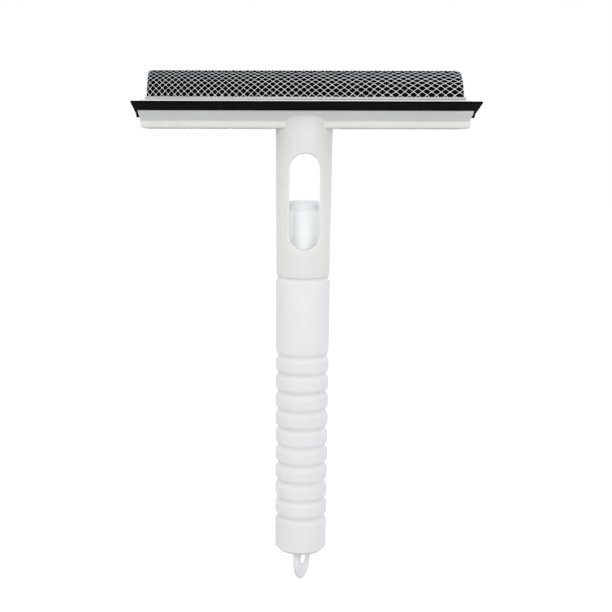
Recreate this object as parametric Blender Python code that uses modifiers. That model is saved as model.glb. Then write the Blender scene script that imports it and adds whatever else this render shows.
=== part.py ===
"""Window squeegee whose handle is a screw-on spray bottle.

Metres, +Z up along the handle axis with the head on top. -Y is the side of the rubber
blade. The origin is on the handle axis, at the lowest point of the hanging loop.
"""
import math

import bmesh
import bpy
from mathutils import Matrix, Vector

# Clearances
FIT_GAP = 0.0003            # between two pieces that seat on each other
RUNNING_GAP = 0.0004        # between a moving piece and what guides it

# Hanging loop, a flat tab moulded under the bottle
LOOP_DROP = 0.0230          # bottle base down to the loop's lowest point
LOOP_WIDTH = 0.0168
LOOP_THICKNESS = 0.0033
LOOP_TURN = math.radians(60)    # turn of the tab about the handle axis
LOOP_ROUND_HEIGHT = 0.0130      # height of the elliptical lower end
LOOP_HOLE_WIDTH = 0.0098
LOOP_HOLE_SHIFT = 0.0013        # the hole lies off the middle of the tab
LOOP_HOLE_LOW = 0.0076          # lowest point of the hole above the tab's end
LOOP_HOLE_GAP = 0.0030          # hole's top below the bottle base
LOOP_EDGE = 0.0005
LOOP_ROOT = 0.0008              # depth of the tab in the bottle's base

# Grip, a blow-moulded bottle with ten grooves
GRIP_LENGTH = 0.1766        # base to shoulder
GRIP_TOP_RADIUS = 0.0172
GRIP_BASE_RADIUS = 0.01655
GRIP_WALL = 0.0014
BASE_WALL = 0.0016
BASE_FILLET = 0.0008
FLOOR_FILLET = 0.0022       # inside, above the floor
SHOULDER_FILLET = 0.0010
GROOVE_COUNT = 10
GROOVE_PITCH = 0.01183
GROOVE_DEPTH = 0.00155
GROOVE_WIDTH = 0.0062
GROOVE_SHOULDER = 0.24      # share of the width at which the flank bends
GROOVE_SHOULDER_DEPTH = 0.36    # share of the depth there
FIRST_GROOVE_DROP = 0.0486      # shoulder down to the first groove
SEAT_RING_RADIUS = 0.0162
SEAT_RING_HEIGHT = 0.0016
SPIGOT_HEIGHT = 0.0068          # threaded part that screws into the sleeve
SPIGOT_WALL = 0.0017
NECK_RADIUS = 0.0080
NECK_WALL = 0.0025
NECK_HEIGHT = 0.0065

# Sleeve of the head
SLEEVE_LENGTH = 0.0925      # mouth to the bar's underside
SLEEVE_MOUTH_RADIUS = 0.0169
SLEEVE_TOP_RADIUS = 0.0177
SLEEVE_BORE_RADIUS = 0.0150
SLEEVE_MOUTH_FILLET = 0.0010
SLEEVE_ROOF = 0.0024        # bore's closed end below the bar's underside
SLEEVE_RISE = 0.0084        # how far the sleeve runs up into the bar
SLEEVE_CROWN = 0.0034       # radius of its rounded upper end
WINDOW_RISE = 0.0182        # mouth to the window's lower end
WINDOW_LENGTH = 0.0591
WINDOW_WIDTH = 0.0187

# Bar of the head, sizes of its cross-section
BAR_LENGTH = 0.2010
BAR_EDGE = 0.0005
BAR_CORNER_ROUND = 0.0016   # at the lower corners of the bar's ends
BEAD_HEIGHT = 0.0042
BEAD_REACH = 0.0131         # handle axis to the front of the bead
BEAD_ROUND = 0.0008
FACE_RISE = 0.0053          # height of the sloping face above the bead
MOUTH_REACH = 0.0180        # handle axis to the mouth of the blade channel
MOUTH_HEIGHT = 0.0117       # bar's underside to the mouth
LIP_WALL = 0.0015
RIM_SETBACK = 0.0008        # along the tray, from its front edge to the slope below it
RIM_DROP = 0.0012           # height of that front edge
TRAY_PITCH = math.radians(24)   # backward slope of the tray under the sponge
TRAY_RIM_REACH = 0.0135
TRAY_REAR_HEIGHT = 0.00184  # tray's rear end above the bar's underside
TRAY_DEPTH = 0.0380         # front rim to rear flange, along the slope
TRAY_WALL = 0.0020
TRAY_END_ROUND = 0.0025     # along the tray's ends
FLANGE_WALL = 0.0016
FLANGE_HEIGHT = 0.0018
POCKET_COUNT = 3            # hollows on each side of the sleeve
POCKET_REAR_WALL = 0.0060   # along the tray, behind the hollows
FIRST_RIB_WALL = 0.0027     # between the sleeve and the first hollow
RIB_WALL = 0.0018
END_WALL = 0.0018
BEAD_WALL = 0.0021

# Rubber blade
BLADE_PITCH = math.radians(17.5)    # rise of the blade above level
BLADE_THICKNESS = 0.0020
BLADE_TIP_THICKNESS = 0.0012
BLADE_FREE = 0.01185
BULB_RADIUS = 0.0024
BULB_DEPTH = 0.0094         # mouth to the middle of the bulb
BLADE_OVERHANG = 0.0031     # past the bar's end at the mouth
BLADE_END_SLANT = 0.0010    # how much longer the lip is than the mouth line

# Sponge, its net and its plate
PLATE_THICKNESS = 0.0015
PLATE_LENGTH = 0.1952
CLIP_WIDTH = 0.0070
CLIP_WALL = 0.0014
CLIP_BARB = 0.0008
CLIP_BARB_HEIGHT = 0.0012
SPONGE_LENGTH = 0.1936
SPONGE_INSET = 0.0014       # from the tray's edges
SPONGE_SIDE = 0.0066        # straight sides below the round top
SPONGE_EDGE = 0.0012
NET_STRAND = 0.0007
NET_COLUMNS = 21
NET_ROWS = 6
NET_GAP = 0.0006

# Spray pump in the neck of the bottle
GASKET_THICKNESS = 0.0010
GASKET_RADIUS = 0.0073
HOUSING_RADIUS = 0.00475
HOUSING_BORE = 0.0038
HOUSING_DEPTH = 0.0301      # flange down to the shoulder of the tail
HOUSING_FLANGE = 0.0010
TAIL_RADIUS = 0.0033
TAIL_LENGTH = 0.0080
VALVE_BORE = 0.0010
CAGE_HEIGHT = 0.0033
BALL_RADIUS = 0.0016
TUBE_RADIUS = 0.0020
TUBE_WALL = 0.0008
TUBE_BOTTOM_GAP = 0.0024
RING_FLANGE_RADIUS = 0.0064
RING_FLANGE = 0.0008
RING_LENGTH = 0.0042
PISTON_LENGTH = 0.0043
STEM_RADIUS = 0.0018
STEM_BORE = 0.0008
STEM_FLANGE = 0.0010
STEM_FOOT = 0.0043
SPRING_WIRE = 0.0006
SPRING_TURNS = 6
SPRING_POINTS = 9           # points in one turn
PRESS_TRAVEL = 0.0045
COLLAR_RADIUS = 0.0103
COLLAR_FLOOR_GAP = 0.0006
COLLAR_WEB = 0.0010
BOSS_WALL = 0.0009
BOSS_HEIGHT = 0.0075
CAP_SEAT_HEIGHT = 0.0024
ACTUATOR_RADIUS = 0.0065
ACTUATOR_HEIGHT = 0.0187
ACTUATOR_WALL = 0.0010
ACTUATOR_DISH = 0.0009
ACTUATOR_POST_WALL = 0.0013
ACTUATOR_SOCKET = 0.0075    # actuator's lower edge up to the end of its stem socket
NOZZLE_RADIUS = 0.0022
NOZZLE_LENGTH = 0.0024
NOZZLE_ORIFICE = 0.0004
NOZZLE_DROP = 0.0045        # actuator top down to the nozzle
CAP_HEIGHT = 0.0308
CAP_WALL = 0.0011
CAP_ROOF = 0.0014
CAP_DRAFT = 0.0004
CAP_FILLET = 0.0020

# Facets round a turned piece
ROUND_LARGE = 32
ROUND_CAP = 28
ROUND_MEDIUM = 20
ROUND_SMALL = 12

# Heights along the handle axis
base_z = LOOP_DROP
shoulder_z = base_z + GRIP_LENGTH
seat_ring_z = shoulder_z + SEAT_RING_HEIGHT
spigot_z = seat_ring_z + SPIGOT_HEIGHT
neck_z = spigot_z + NECK_HEIGHT
mouth_z = seat_ring_z + FIT_GAP
bar_z = mouth_z + SLEEVE_LENGTH
window_z = mouth_z + WINDOW_RISE
gasket_z = neck_z + FIT_GAP
flange_z = gasket_z + GASKET_THICKNESS + FIT_GAP
flange_top_z = flange_z + HOUSING_FLANGE
ring_z = flange_top_z + FIT_GAP
web_z = ring_z + RING_FLANGE + FIT_GAP
web_top_z = web_z + COLLAR_WEB
cap_seat_z = web_z - RUNNING_GAP
cap_z = cap_seat_z + FIT_GAP
boss_top_z = web_top_z + BOSS_HEIGHT
actuator_z = web_top_z + PRESS_TRAVEL + RUNNING_GAP + FIT_GAP
actuator_top_z = actuator_z + ACTUATOR_HEIGHT
ledge_z = flange_z - HOUSING_DEPTH + TAIL_RADIUS + CAGE_HEIGHT
ring_foot_z = ring_z - RING_LENGTH
piston_z = ring_foot_z - FIT_GAP - PISTON_LENGTH
stem_flange_z = piston_z - FIT_GAP - STEM_FLANGE

# Sizes that follow from the tray
tray_rim_height = TRAY_REAR_HEIGHT + TRAY_DEPTH * math.sin(TRAY_PITCH)
sponge_radius = TRAY_DEPTH / 2 - SPONGE_INSET

# Radii that follow from a fit
spigot_radius = SLEEVE_BORE_RADIUS - FIT_GAP
neck_bore = NECK_RADIUS - NECK_WALL
tube_socket = TUBE_RADIUS + FIT_GAP
sliding_radius = HOUSING_BORE - FIT_GAP
stem_socket = STEM_RADIUS + FIT_GAP
boss_bore = ACTUATOR_RADIUS + FIT_GAP
boss_radius = boss_bore + BOSS_WALL
cap_bore = COLLAR_RADIUS - CAP_WALL
cap_seat_radius = cap_bore - FIT_GAP

WHITE_ABS = (0.83, 0.83, 0.82)
WHITE_PE = (0.80, 0.80, 0.79)
FROSTED_PP = (0.72, 0.75, 0.77)
BLACK_RUBBER = (0.02, 0.02, 0.02)
BLACK_FOAM = (0.03, 0.03, 0.03)
STEEL = (0.60, 0.60, 0.60)
SOFT_GREY = (0.45, 0.45, 0.45)


def clear_scene():
    for thing in list(bpy.data.objects):
        bpy.data.objects.remove(thing, do_unlink=True)


def new_collection(name):
    group = bpy.data.collections.new(name)
    bpy.context.scene.collection.children.link(group)
    return group


def new_material(name, color, roughness, metallic=0.0, alpha=1.0):
    material = bpy.data.materials.new(name)
    material.use_nodes = True
    shader = material.node_tree.nodes["Principled BSDF"]
    shader.inputs["Base Color"].default_value = (*color, 1.0)
    shader.inputs["Roughness"].default_value = roughness
    shader.inputs["Metallic"].default_value = metallic
    shader.inputs["Alpha"].default_value = alpha
    return material


clear_scene()
squeegee = new_collection("window_squeegee")
cutters = new_collection("cutters")


def add(name, mesh, group):
    piece = bpy.data.objects.new(name, mesh)
    group.objects.link(piece)
    return piece


def as_cutter(piece):
    """A cutter only shapes other pieces."""
    for group in list(piece.users_collection):
        group.objects.unlink(piece)
    cutters.objects.link(piece)
    piece.hide_render = True
    piece.display_type = "WIRE"
    return piece


def finish(piece, material, sharp_angle=35):
    piece.data.materials.clear()
    piece.data.materials.append(material)
    piece.data.shade_smooth()
    piece.data.set_sharp_from_angle(angle=math.radians(sharp_angle))
    return piece


def combine(piece, tool, operation):
    step = piece.modifiers.new(operation.lower(), "BOOLEAN")
    step.operation = operation
    step.solver = "EXACT"
    step.object = tool
    return piece


def cut(piece, *tools):
    for tool in tools:
        combine(piece, as_cutter(tool), "DIFFERENCE")


def join(piece, *tools):
    for tool in tools:
        combine(piece, as_cutter(tool), "UNION")


def soften(piece, width, segments=2, angle=40):
    step = piece.modifiers.new("soften", "BEVEL")
    step.width = width
    step.segments = segments
    step.limit_method = "ANGLE"
    step.angle_limit = math.radians(angle)
    step.use_clamp_overlap = True
    return piece


def turned(name, profile, facets, closed=False):
    """A profile of (radius, z) points turned about the handle axis."""
    work = bmesh.new()
    points = [work.verts.new((radius, 0.0, z)) for radius, z in profile]
    for start, end in zip(points, points[1:]):
        work.edges.new((start, end))
    if closed:
        work.edges.new((points[-1], points[0]))
    mesh = bpy.data.meshes.new(name)
    work.to_mesh(mesh)
    work.free()
    piece = add(name, mesh, squeegee)
    turn = piece.modifiers.new("turn", "SCREW")
    turn.axis = "Z"
    turn.steps = facets
    turn.render_steps = facets
    turn.use_merge_vertices = True
    turn.merge_threshold = 0.00001
    turn.use_smooth_shade = True
    return piece


def prism(name, outlines, thickness, across, up, centre=(0.0, 0.0, 0.0)):
    """Flat outlines given along two directions, made thick evenly about their plane."""
    curve = bpy.data.curves.new(name, "CURVE")
    curve.dimensions = "2D"
    curve.fill_mode = "BOTH"
    curve.extrude = thickness / 2
    for outline in outlines:
        spline = curve.splines.new("POLY")
        spline.points.add(len(outline) - 1)
        for point, (a, b) in zip(spline.points, outline):
            point.co = (a, b, 0.0, 1.0)
        spline.use_cyclic_u = True
    guide = add(name, curve, squeegee)
    across = Vector(across)
    up = Vector(up)
    frame = Matrix((across, up, across.cross(up))).transposed().to_4x4()
    guide.matrix_world = Matrix.Translation(centre) @ frame
    return curve_to_mesh(guide)


def curve_to_mesh(guide):
    """The curve's welded mesh, in place of the curve."""
    bpy.context.view_layer.update()
    graph = bpy.context.evaluated_depsgraph_get()
    mesh = bpy.data.meshes.new_from_object(guide.evaluated_get(graph))
    place = guide.matrix_world.copy()
    name = guide.name
    bpy.data.objects.remove(guide, do_unlink=True)
    work = bmesh.new()
    work.from_mesh(mesh)
    bmesh.ops.remove_doubles(work, verts=work.verts, dist=0.000001)
    bmesh.ops.recalc_face_normals(work, faces=work.faces)
    work.to_mesh(mesh)
    work.free()
    piece = add(name, mesh, squeegee)
    piece.matrix_world = place
    return piece


def bar_prism(name, outline, length, x=0.0):
    """A cross-section of (y, z) points, run along the bar."""
    return prism(name, [outline], length, (0, 1, 0), (0, 0, 1), (x, 0.0, 0.0))


def arc(centre, radii, start, end, steps):
    """Points on an ellipse, angles in degrees."""
    points = []
    for step in range(steps + 1):
        angle = math.radians(start + (end - start) * step / steps)
        points.append((centre[0] + radii[0] * math.cos(angle), centre[1] + radii[1] * math.sin(angle)))
    return points


def tray_point(along, above):
    """(y, z) of a point on the sloping tray: back along it from the front rim, and above it."""
    y = -TRAY_RIM_REACH + along * math.cos(TRAY_PITCH) + above * math.sin(TRAY_PITCH)
    z = bar_z + tray_rim_height - along * math.sin(TRAY_PITCH) + above * math.cos(TRAY_PITCH)
    return (y, z)


def blade_point(out, above):
    """(y, z) of a point on the blade: out from the middle of its bulb, and above its mid plane."""
    out -= BULB_DEPTH
    y = -MOUTH_REACH - out * math.cos(BLADE_PITCH) + above * math.sin(BLADE_PITCH)
    z = bar_z + MOUTH_HEIGHT + out * math.sin(BLADE_PITCH) + above * math.cos(BLADE_PITCH)
    return (y, z)


def bulb_outline(clearance, reach, tip_half):
    """The keyhole shape of the blade's root, and of the channel that holds it."""
    radius = BULB_RADIUS + clearance
    half = BLADE_THICKNESS / 2 + clearance
    neck = math.degrees(math.asin(half / radius))
    outline = [blade_point(a, b) for a, b in arc((0, 0), (radius, radius), neck, 360 - neck, 10)]
    outline.append(blade_point(BULB_DEPTH, -half))
    outline.append(blade_point(reach, -tip_half))
    outline.append(blade_point(reach, tip_half))
    outline.append(blade_point(BULB_DEPTH, half))
    return outline


def bar_outline():
    """Outside of the bar, from the tray's front rim round by the front and the underside."""
    slot_half = BLADE_THICKNESS / 2 + FIT_GAP + LIP_WALL
    face_top = bar_z + BEAD_HEIGHT + FACE_RISE
    outline = [tray_point(0, 0)]
    outline.append(tray_point(-RIM_SETBACK, -RIM_DROP))
    outline.append(blade_point(BULB_DEPTH, slot_half))
    outline.append((-MOUTH_REACH - LIP_WALL / 2, face_top + LIP_WALL / 2))
    outline.append((-MOUTH_REACH - LIP_WALL / 4, face_top))
    outline.append((-BEAD_REACH + BEAD_ROUND, bar_z + BEAD_HEIGHT))
    middle = bar_z + BEAD_HEIGHT / 2
    for y, z in arc((-BEAD_REACH + BEAD_ROUND, middle), (BEAD_ROUND, BEAD_HEIGHT / 2), 90, 270, 4)[1:]:
        outline.append((y, z))
    flange_back = tray_point(TRAY_DEPTH + FLANGE_WALL, FLANGE_HEIGHT)
    outline.append((flange_back[0] - FLANGE_HEIGHT, bar_z))
    outline.append(flange_back)
    outline.append(tray_point(TRAY_DEPTH, FLANGE_HEIGHT))
    outline.append(tray_point(TRAY_DEPTH, 0))
    return outline


def pocket_outline():
    """Hollow under the bar, behind the bead and the blade channel and below the tray."""
    bulb_y, bulb_z = blade_point(0, 0)
    shell = BULB_RADIUS + FIT_GAP + LIP_WALL
    front = -BEAD_REACH + BEAD_WALL
    rear_along = TRAY_DEPTH - POCKET_REAR_WALL
    rear_y, rear_z = tray_point(rear_along, -TRAY_WALL)
    channel_y = bulb_y + shell
    channel_along = (channel_y + TRAY_RIM_REACH + TRAY_WALL * math.sin(TRAY_PITCH)) / math.cos(TRAY_PITCH)
    below = bar_z - TRAY_WALL
    outline = [(front, below), (front, bulb_z - shell)]
    outline += arc((bulb_y, bulb_z), (shell, shell), -90, 0, 3)
    outline.append(tray_point(channel_along, -TRAY_WALL))
    outline.append((rear_y, rear_z))
    outline.append((rear_y, below))
    return outline


def pocket_places():
    """Middle and width of each hollow on the right of the sleeve."""
    inner = SLEEVE_TOP_RADIUS + FIRST_RIB_WALL
    outer = BAR_LENGTH / 2 - END_WALL
    width = (outer - inner - (POCKET_COUNT - 1) * RIB_WALL) / POCKET_COUNT
    return [(inner + width / 2 + index * (width + RIB_WALL), width) for index in range(POCKET_COUNT)]


def clip_places():
    """The plate's clips stand over the first and the last hollow of each side."""
    middles = [middle for middle, width in pocket_places()]
    return [side * middle for side in (-1, 1) for middle in (middles[0], middles[-1])]


def stadium(width, low, high, steps=8):
    """Upright slot outline with round ends."""
    radius = width / 2
    outline = arc((0, high - radius), (radius, radius), 0, 180, steps)
    outline += arc((0, low + radius), (radius, radius), 180, 360, steps)
    return outline


def end_cut(name, radius, side, up, centre):
    """What is cut off one end of the bar to round the edge that lies on a plane facing up."""
    half = BAR_LENGTH / 2
    outline = arc((half - radius, -radius), (radius, radius), 90, 0, 4)
    outline += [(2 * half, -radius), (2 * half, half), (half - radius, half)]
    return prism(name, [[(side * x, rise) for x, rise in outline]], 2 * TRAY_DEPTH, (1, 0, 0), up, centre)


def make_head_frame(material):
    """Bar, blade channel, sponge tray and sleeve, one ABS moulding."""
    frame = bar_prism("head_frame", bar_outline(), BAR_LENGTH)
    soften(frame, BAR_EDGE)
    crown = (SLEEVE_TOP_RADIUS - SLEEVE_CROWN, bar_z + SLEEVE_RISE - SLEEVE_CROWN)
    sleeve = turned("sleeve_form", [
        (0.0, bar_z + SLEEVE_RISE),
        *arc(crown, (SLEEVE_CROWN, SLEEVE_CROWN), 90, 0, 4),
        (SLEEVE_TOP_RADIUS, bar_z - SLEEVE_ROOF),
        (SLEEVE_MOUTH_RADIUS, mouth_z + SLEEVE_MOUTH_FILLET),
        (SLEEVE_MOUTH_RADIUS - SLEEVE_MOUTH_FILLET / 3, mouth_z + SLEEVE_MOUTH_FILLET / 3),
        (SLEEVE_MOUTH_RADIUS - SLEEVE_MOUTH_FILLET, mouth_z),
        (0.0, mouth_z),
    ], ROUND_LARGE)
    bore = turned("sleeve_bore", [
        (0.0, bar_z - SLEEVE_ROOF),
        (SLEEVE_BORE_RADIUS - SLEEVE_ROOF, bar_z - SLEEVE_ROOF),
        (SLEEVE_BORE_RADIUS, bar_z - 2 * SLEEVE_ROOF),
        (SLEEVE_BORE_RADIUS, mouth_z - FIT_GAP),
        (0.0, mouth_z - FIT_GAP),
    ], ROUND_LARGE)
    window = prism("window", [stadium(WINDOW_WIDTH, window_z, window_z + WINDOW_LENGTH)],
                   4 * SLEEVE_TOP_RADIUS, (1, 0, 0), (0, 0, 1))
    above_tray = bar_prism("above_tray", [
        tray_point(0, 0),
        tray_point(TRAY_DEPTH, 0),
        tray_point(TRAY_DEPTH, TRAY_DEPTH / 2),
        tray_point(0, TRAY_DEPTH / 2),
    ], BAR_LENGTH / 2)
    reach = BULB_DEPTH + BLADE_FREE
    half = BLADE_THICKNESS / 2 + FIT_GAP
    channel = bar_prism("blade_channel", bulb_outline(FIT_GAP, reach, half), 2 * BAR_LENGTH)
    join(frame, sleeve)
    cut(frame, above_tray, bore, window, channel)
    tray_up = (0.0, math.sin(TRAY_PITCH), math.cos(TRAY_PITCH))
    tray_middle = (0.0, *tray_point(TRAY_DEPTH / 2, 0))
    for side in (-1, 1):
        cut(frame, end_cut("tray_end_cut", TRAY_END_ROUND, side, tray_up, tray_middle))
        cut(frame, end_cut("corner_cut", BAR_CORNER_ROUND, side, (0, 0, -1), (0.0, 0.0, bar_z)))
    for middle, width in pocket_places():
        for side in (-1, 1):
            cut(frame, bar_prism("pocket", pocket_outline(), width, side * middle))
    clip_middle = TRAY_DEPTH / 2
    slot_low = clip_middle - CLIP_WALL / 2 - FIT_GAP
    slot_high = clip_middle + CLIP_WALL / 2 + CLIP_BARB + FIT_GAP
    for x in clip_places():
        cut(frame, bar_prism("clip_slot", [
            tray_point(slot_low, FIT_GAP),
            tray_point(slot_high, FIT_GAP),
            tray_point(slot_high, -TRAY_WALL - FIT_GAP),
            tray_point(slot_low, -TRAY_WALL - FIT_GAP),
        ], CLIP_WIDTH + 2 * FIT_GAP, x))
    return finish(frame, material)


def make_blade(material):
    """Rubber strip with a bulb that slides into the channel, longer at its lip."""
    tip = BULB_DEPTH + BLADE_FREE
    outline = bulb_outline(0.0, tip, BLADE_TIP_THICKNESS / 2)
    mouth_half = BAR_LENGTH / 2 + BLADE_OVERHANG
    blade = bar_prism("blade_rubber", outline, 2 * mouth_half)
    mesh_to_world = blade.matrix_world
    world_to_mesh = mesh_to_world.inverted()
    root_y = blade_point(BULB_DEPTH, 0)[0]
    tip_y = blade_point(tip, 0)[0]
    for vertex in blade.data.vertices:
        point = mesh_to_world @ vertex.co
        share = (root_y - point.y) / (root_y - tip_y)
        point.x = math.copysign(mouth_half + share * BLADE_END_SLANT, point.x)
        vertex.co = world_to_mesh @ point
    return finish(blade, material)


def sponge_path(radius, above, steps):
    """The D-shaped path over the tray, from front to back, as tray points."""
    middle = TRAY_DEPTH / 2
    bottom = PLATE_THICKNESS + 2 * FIT_GAP
    crown = bottom + SPONGE_SIDE
    path = [(middle - radius, bottom + above)]
    path += arc((middle, crown), (radius, radius), 180, 0, steps)
    path.append((middle + radius, bottom + above))
    return path


def make_plate(material):
    """Backing plate of the sponge, with clips that hook under the tray."""
    low = FIT_GAP
    high = FIT_GAP + PLATE_THICKNESS
    end = TRAY_DEPTH - FIT_GAP
    plate = bar_prism("sponge_plate", [
        tray_point(0, low), tray_point(end, low), tray_point(end, high), tray_point(0, high),
    ], PLATE_LENGTH)
    hook_top = -TRAY_WALL - FIT_GAP
    hook_low = hook_top - CLIP_BARB_HEIGHT
    front = TRAY_DEPTH / 2 - CLIP_WALL / 2
    back = TRAY_DEPTH / 2 + CLIP_WALL / 2
    for x in clip_places():
        join(plate, bar_prism("clip", [
            tray_point(front, high - PLATE_THICKNESS / 2),
            tray_point(front, hook_low),
            tray_point(back, hook_low),
            tray_point(back + CLIP_BARB, hook_top),
            tray_point(back, hook_top),
            tray_point(back, high - PLATE_THICKNESS / 2),
        ], CLIP_WIDTH, x))
    return finish(plate, material)


def make_sponge(material):
    path = sponge_path(sponge_radius, 0.0, 18)
    sponge = bar_prism("sponge", [tray_point(a, b) for a, b in path], SPONGE_LENGTH)
    soften(sponge, SPONGE_EDGE, 2, 60)
    return finish(sponge, material, 50)


def path_point(path, share):
    """Point at a share of the length of a path."""
    lengths = [math.dist(a, b) for a, b in zip(path, path[1:])]
    left = share * sum(lengths)
    for length, start, end in zip(lengths, path, path[1:]):
        if left <= length:
            part = left / length
            return (start[0] + part * (end[0] - start[0]), start[1] + part * (end[1] - start[1]))
        left -= length
    return path[-1]


def make_net(material):
    """Net of diamond meshes, laid over the sponge from the front of the plate to the back."""
    path = sponge_path(sponge_radius + NET_GAP + NET_STRAND / 2, NET_STRAND / 2, 48)
    work = bmesh.new()
    bmesh.ops.create_grid(work, x_segments=NET_COLUMNS, y_segments=NET_ROWS, size=0.5)
    squares = list(work.edges)
    bmesh.ops.poke(work, faces=work.faces)
    inner = [edge for edge in squares if not edge.is_boundary]
    bmesh.ops.dissolve_edges(work, edges=inner, use_verts=False)
    ends = [edge for edge in work.edges if edge.is_boundary and abs(edge.verts[0].co.x) == 0.5
            and edge.verts[0].co.x == edge.verts[1].co.x]
    bmesh.ops.subdivide_edges(work, edges=ends, cuts=1)
    for vertex in work.verts:
        along, above = path_point(path, vertex.co.y + 0.5)
        y, z = tray_point(along, above)
        vertex.co = (vertex.co.x * (SPONGE_LENGTH - NET_STRAND), y, z)
    bmesh.ops.recalc_face_normals(work, faces=work.faces)
    mesh = bpy.data.meshes.new("sponge_net")
    work.to_mesh(mesh)
    work.free()
    net = add("sponge_net", mesh, squeegee)
    strands = net.modifiers.new("strands", "WIREFRAME")
    strands.thickness = NET_STRAND
    strands.offset = 0.0
    strands.use_boundary = True
    strands.use_replace = True
    strands.use_even_offset = True
    return finish(net, material)


def grip_radius(z):
    """The grip tapers evenly from its shoulder to its base."""
    share = (z - base_z) / GRIP_LENGTH
    return GRIP_BASE_RADIUS + share * (GRIP_TOP_RADIUS - GRIP_BASE_RADIUS)


def groove_profile():
    """Five points for each groove, from the first one down."""
    profile = []
    for index in range(GROOVE_COUNT):
        middle = shoulder_z - FIRST_GROOVE_DROP - index * GROOVE_PITCH
        flank = (GROOVE_SHOULDER, GROOVE_SHOULDER_DEPTH)
        for offset, depth in ((0.5, 0.0), flank, (0.0, 1.0), (-flank[0], flank[1]), (-0.5, 0.0)):
            z = middle + offset * GROOVE_WIDTH
            profile.append((grip_radius(z) - depth * GROOVE_DEPTH, z))
    return profile


def make_bottle(material):
    """Grip bottle: hollow, with grooves, a spigot for the sleeve, a neck for the pump and the loop."""
    inside = GRIP_BASE_RADIUS - GROOVE_DEPTH - GRIP_WALL
    spigot_inside = spigot_radius - SPIGOT_WALL
    floor_z = base_z + BASE_WALL
    base_r = GRIP_BASE_RADIUS
    profile = [
        (0.0, floor_z),
        (inside - FLOOR_FILLET, floor_z),
        (inside, floor_z + FLOOR_FILLET),
        (inside, shoulder_z - FLOOR_FILLET),
        (min(inside, spigot_inside), shoulder_z),
        (min(inside, spigot_inside), spigot_z - 2 * SPIGOT_WALL),
        (neck_bore + SPIGOT_WALL, spigot_z - SPIGOT_WALL),
        (neck_bore, spigot_z),
        (neck_bore, neck_z),
        (NECK_RADIUS, neck_z),
        (NECK_RADIUS, spigot_z),
        (spigot_radius - SPIGOT_WALL / 2, spigot_z),
        (spigot_radius, spigot_z - SPIGOT_WALL / 2),
        (spigot_radius, seat_ring_z),
        (SEAT_RING_RADIUS, seat_ring_z),
        (SEAT_RING_RADIUS, shoulder_z),
        (GRIP_TOP_RADIUS - SHOULDER_FILLET, shoulder_z),
        (GRIP_TOP_RADIUS - SHOULDER_FILLET / 3, shoulder_z - SHOULDER_FILLET / 3),
        (GRIP_TOP_RADIUS, shoulder_z - SHOULDER_FILLET),
    ]
    profile += groove_profile()
    profile += arc((base_r - BASE_FILLET, base_z + BASE_FILLET), (BASE_FILLET, BASE_FILLET), 0, -90, 4)
    profile.append((0.0, base_z))
    bottle = turned("grip_bottle", profile, ROUND_LARGE)
    outline = [(LOOP_WIDTH / 2, base_z + LOOP_ROOT)]
    outline += arc((0, LOOP_ROUND_HEIGHT), (LOOP_WIDTH / 2, LOOP_ROUND_HEIGHT), 0, -180, 14)
    outline.append((-LOOP_WIDTH / 2, base_z + LOOP_ROOT))
    hole_half = LOOP_HOLE_WIDTH / 2
    hole_round = LOOP_ROUND_HEIGHT - LOOP_HOLE_LOW
    hole = arc((LOOP_HOLE_SHIFT, LOOP_ROUND_HEIGHT), (hole_half, hole_round), 0, -180, 10)
    hole_top = base_z - LOOP_HOLE_GAP - hole_half / 2
    hole += arc((LOOP_HOLE_SHIFT, hole_top), (hole_half, hole_half / 2), 180, 0, 6)
    turn = (math.cos(LOOP_TURN), math.sin(LOOP_TURN), 0)
    loop = prism("hang_loop", [outline, hole], LOOP_THICKNESS, turn, (0, 0, 1))
    soften(loop, LOOP_EDGE)
    join(bottle, loop)
    return finish(bottle, material)


def make_collar(material):
    """Closure that screws on the bottle's neck, with the boss round the actuator."""
    low = spigot_z + COLLAR_FLOOR_GAP
    over_neck = neck_z + FIT_GAP
    collar = turned("sprayer_collar", [
        (boss_radius, boss_top_z),
        (boss_radius, cap_seat_z + CAP_SEAT_HEIGHT),
        (cap_seat_radius, cap_seat_z + CAP_SEAT_HEIGHT),
        (cap_seat_radius, cap_seat_z),
        (COLLAR_RADIUS, cap_seat_z),
        (COLLAR_RADIUS, low),
        (NECK_RADIUS + FIT_GAP, low),
        (NECK_RADIUS + FIT_GAP, over_neck),
        (GASKET_RADIUS + RUNNING_GAP, over_neck),
        (GASKET_RADIUS + RUNNING_GAP, web_z),
        (stem_socket + RUNNING_GAP, web_z),
        (stem_socket + RUNNING_GAP, web_top_z),
        (boss_bore, web_top_z),
        (boss_bore, boss_top_z),
    ], ROUND_MEDIUM, True)
    return finish(collar, material)


def make_gasket(material):
    inside = HOUSING_RADIUS + FIT_GAP
    gasket = turned("neck_gasket", [
        (GASKET_RADIUS, gasket_z + GASKET_THICKNESS),
        (GASKET_RADIUS, gasket_z),
        (inside, gasket_z),
        (inside, gasket_z + GASKET_THICKNESS),
    ], ROUND_MEDIUM, True)
    return finish(gasket, material)


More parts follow.
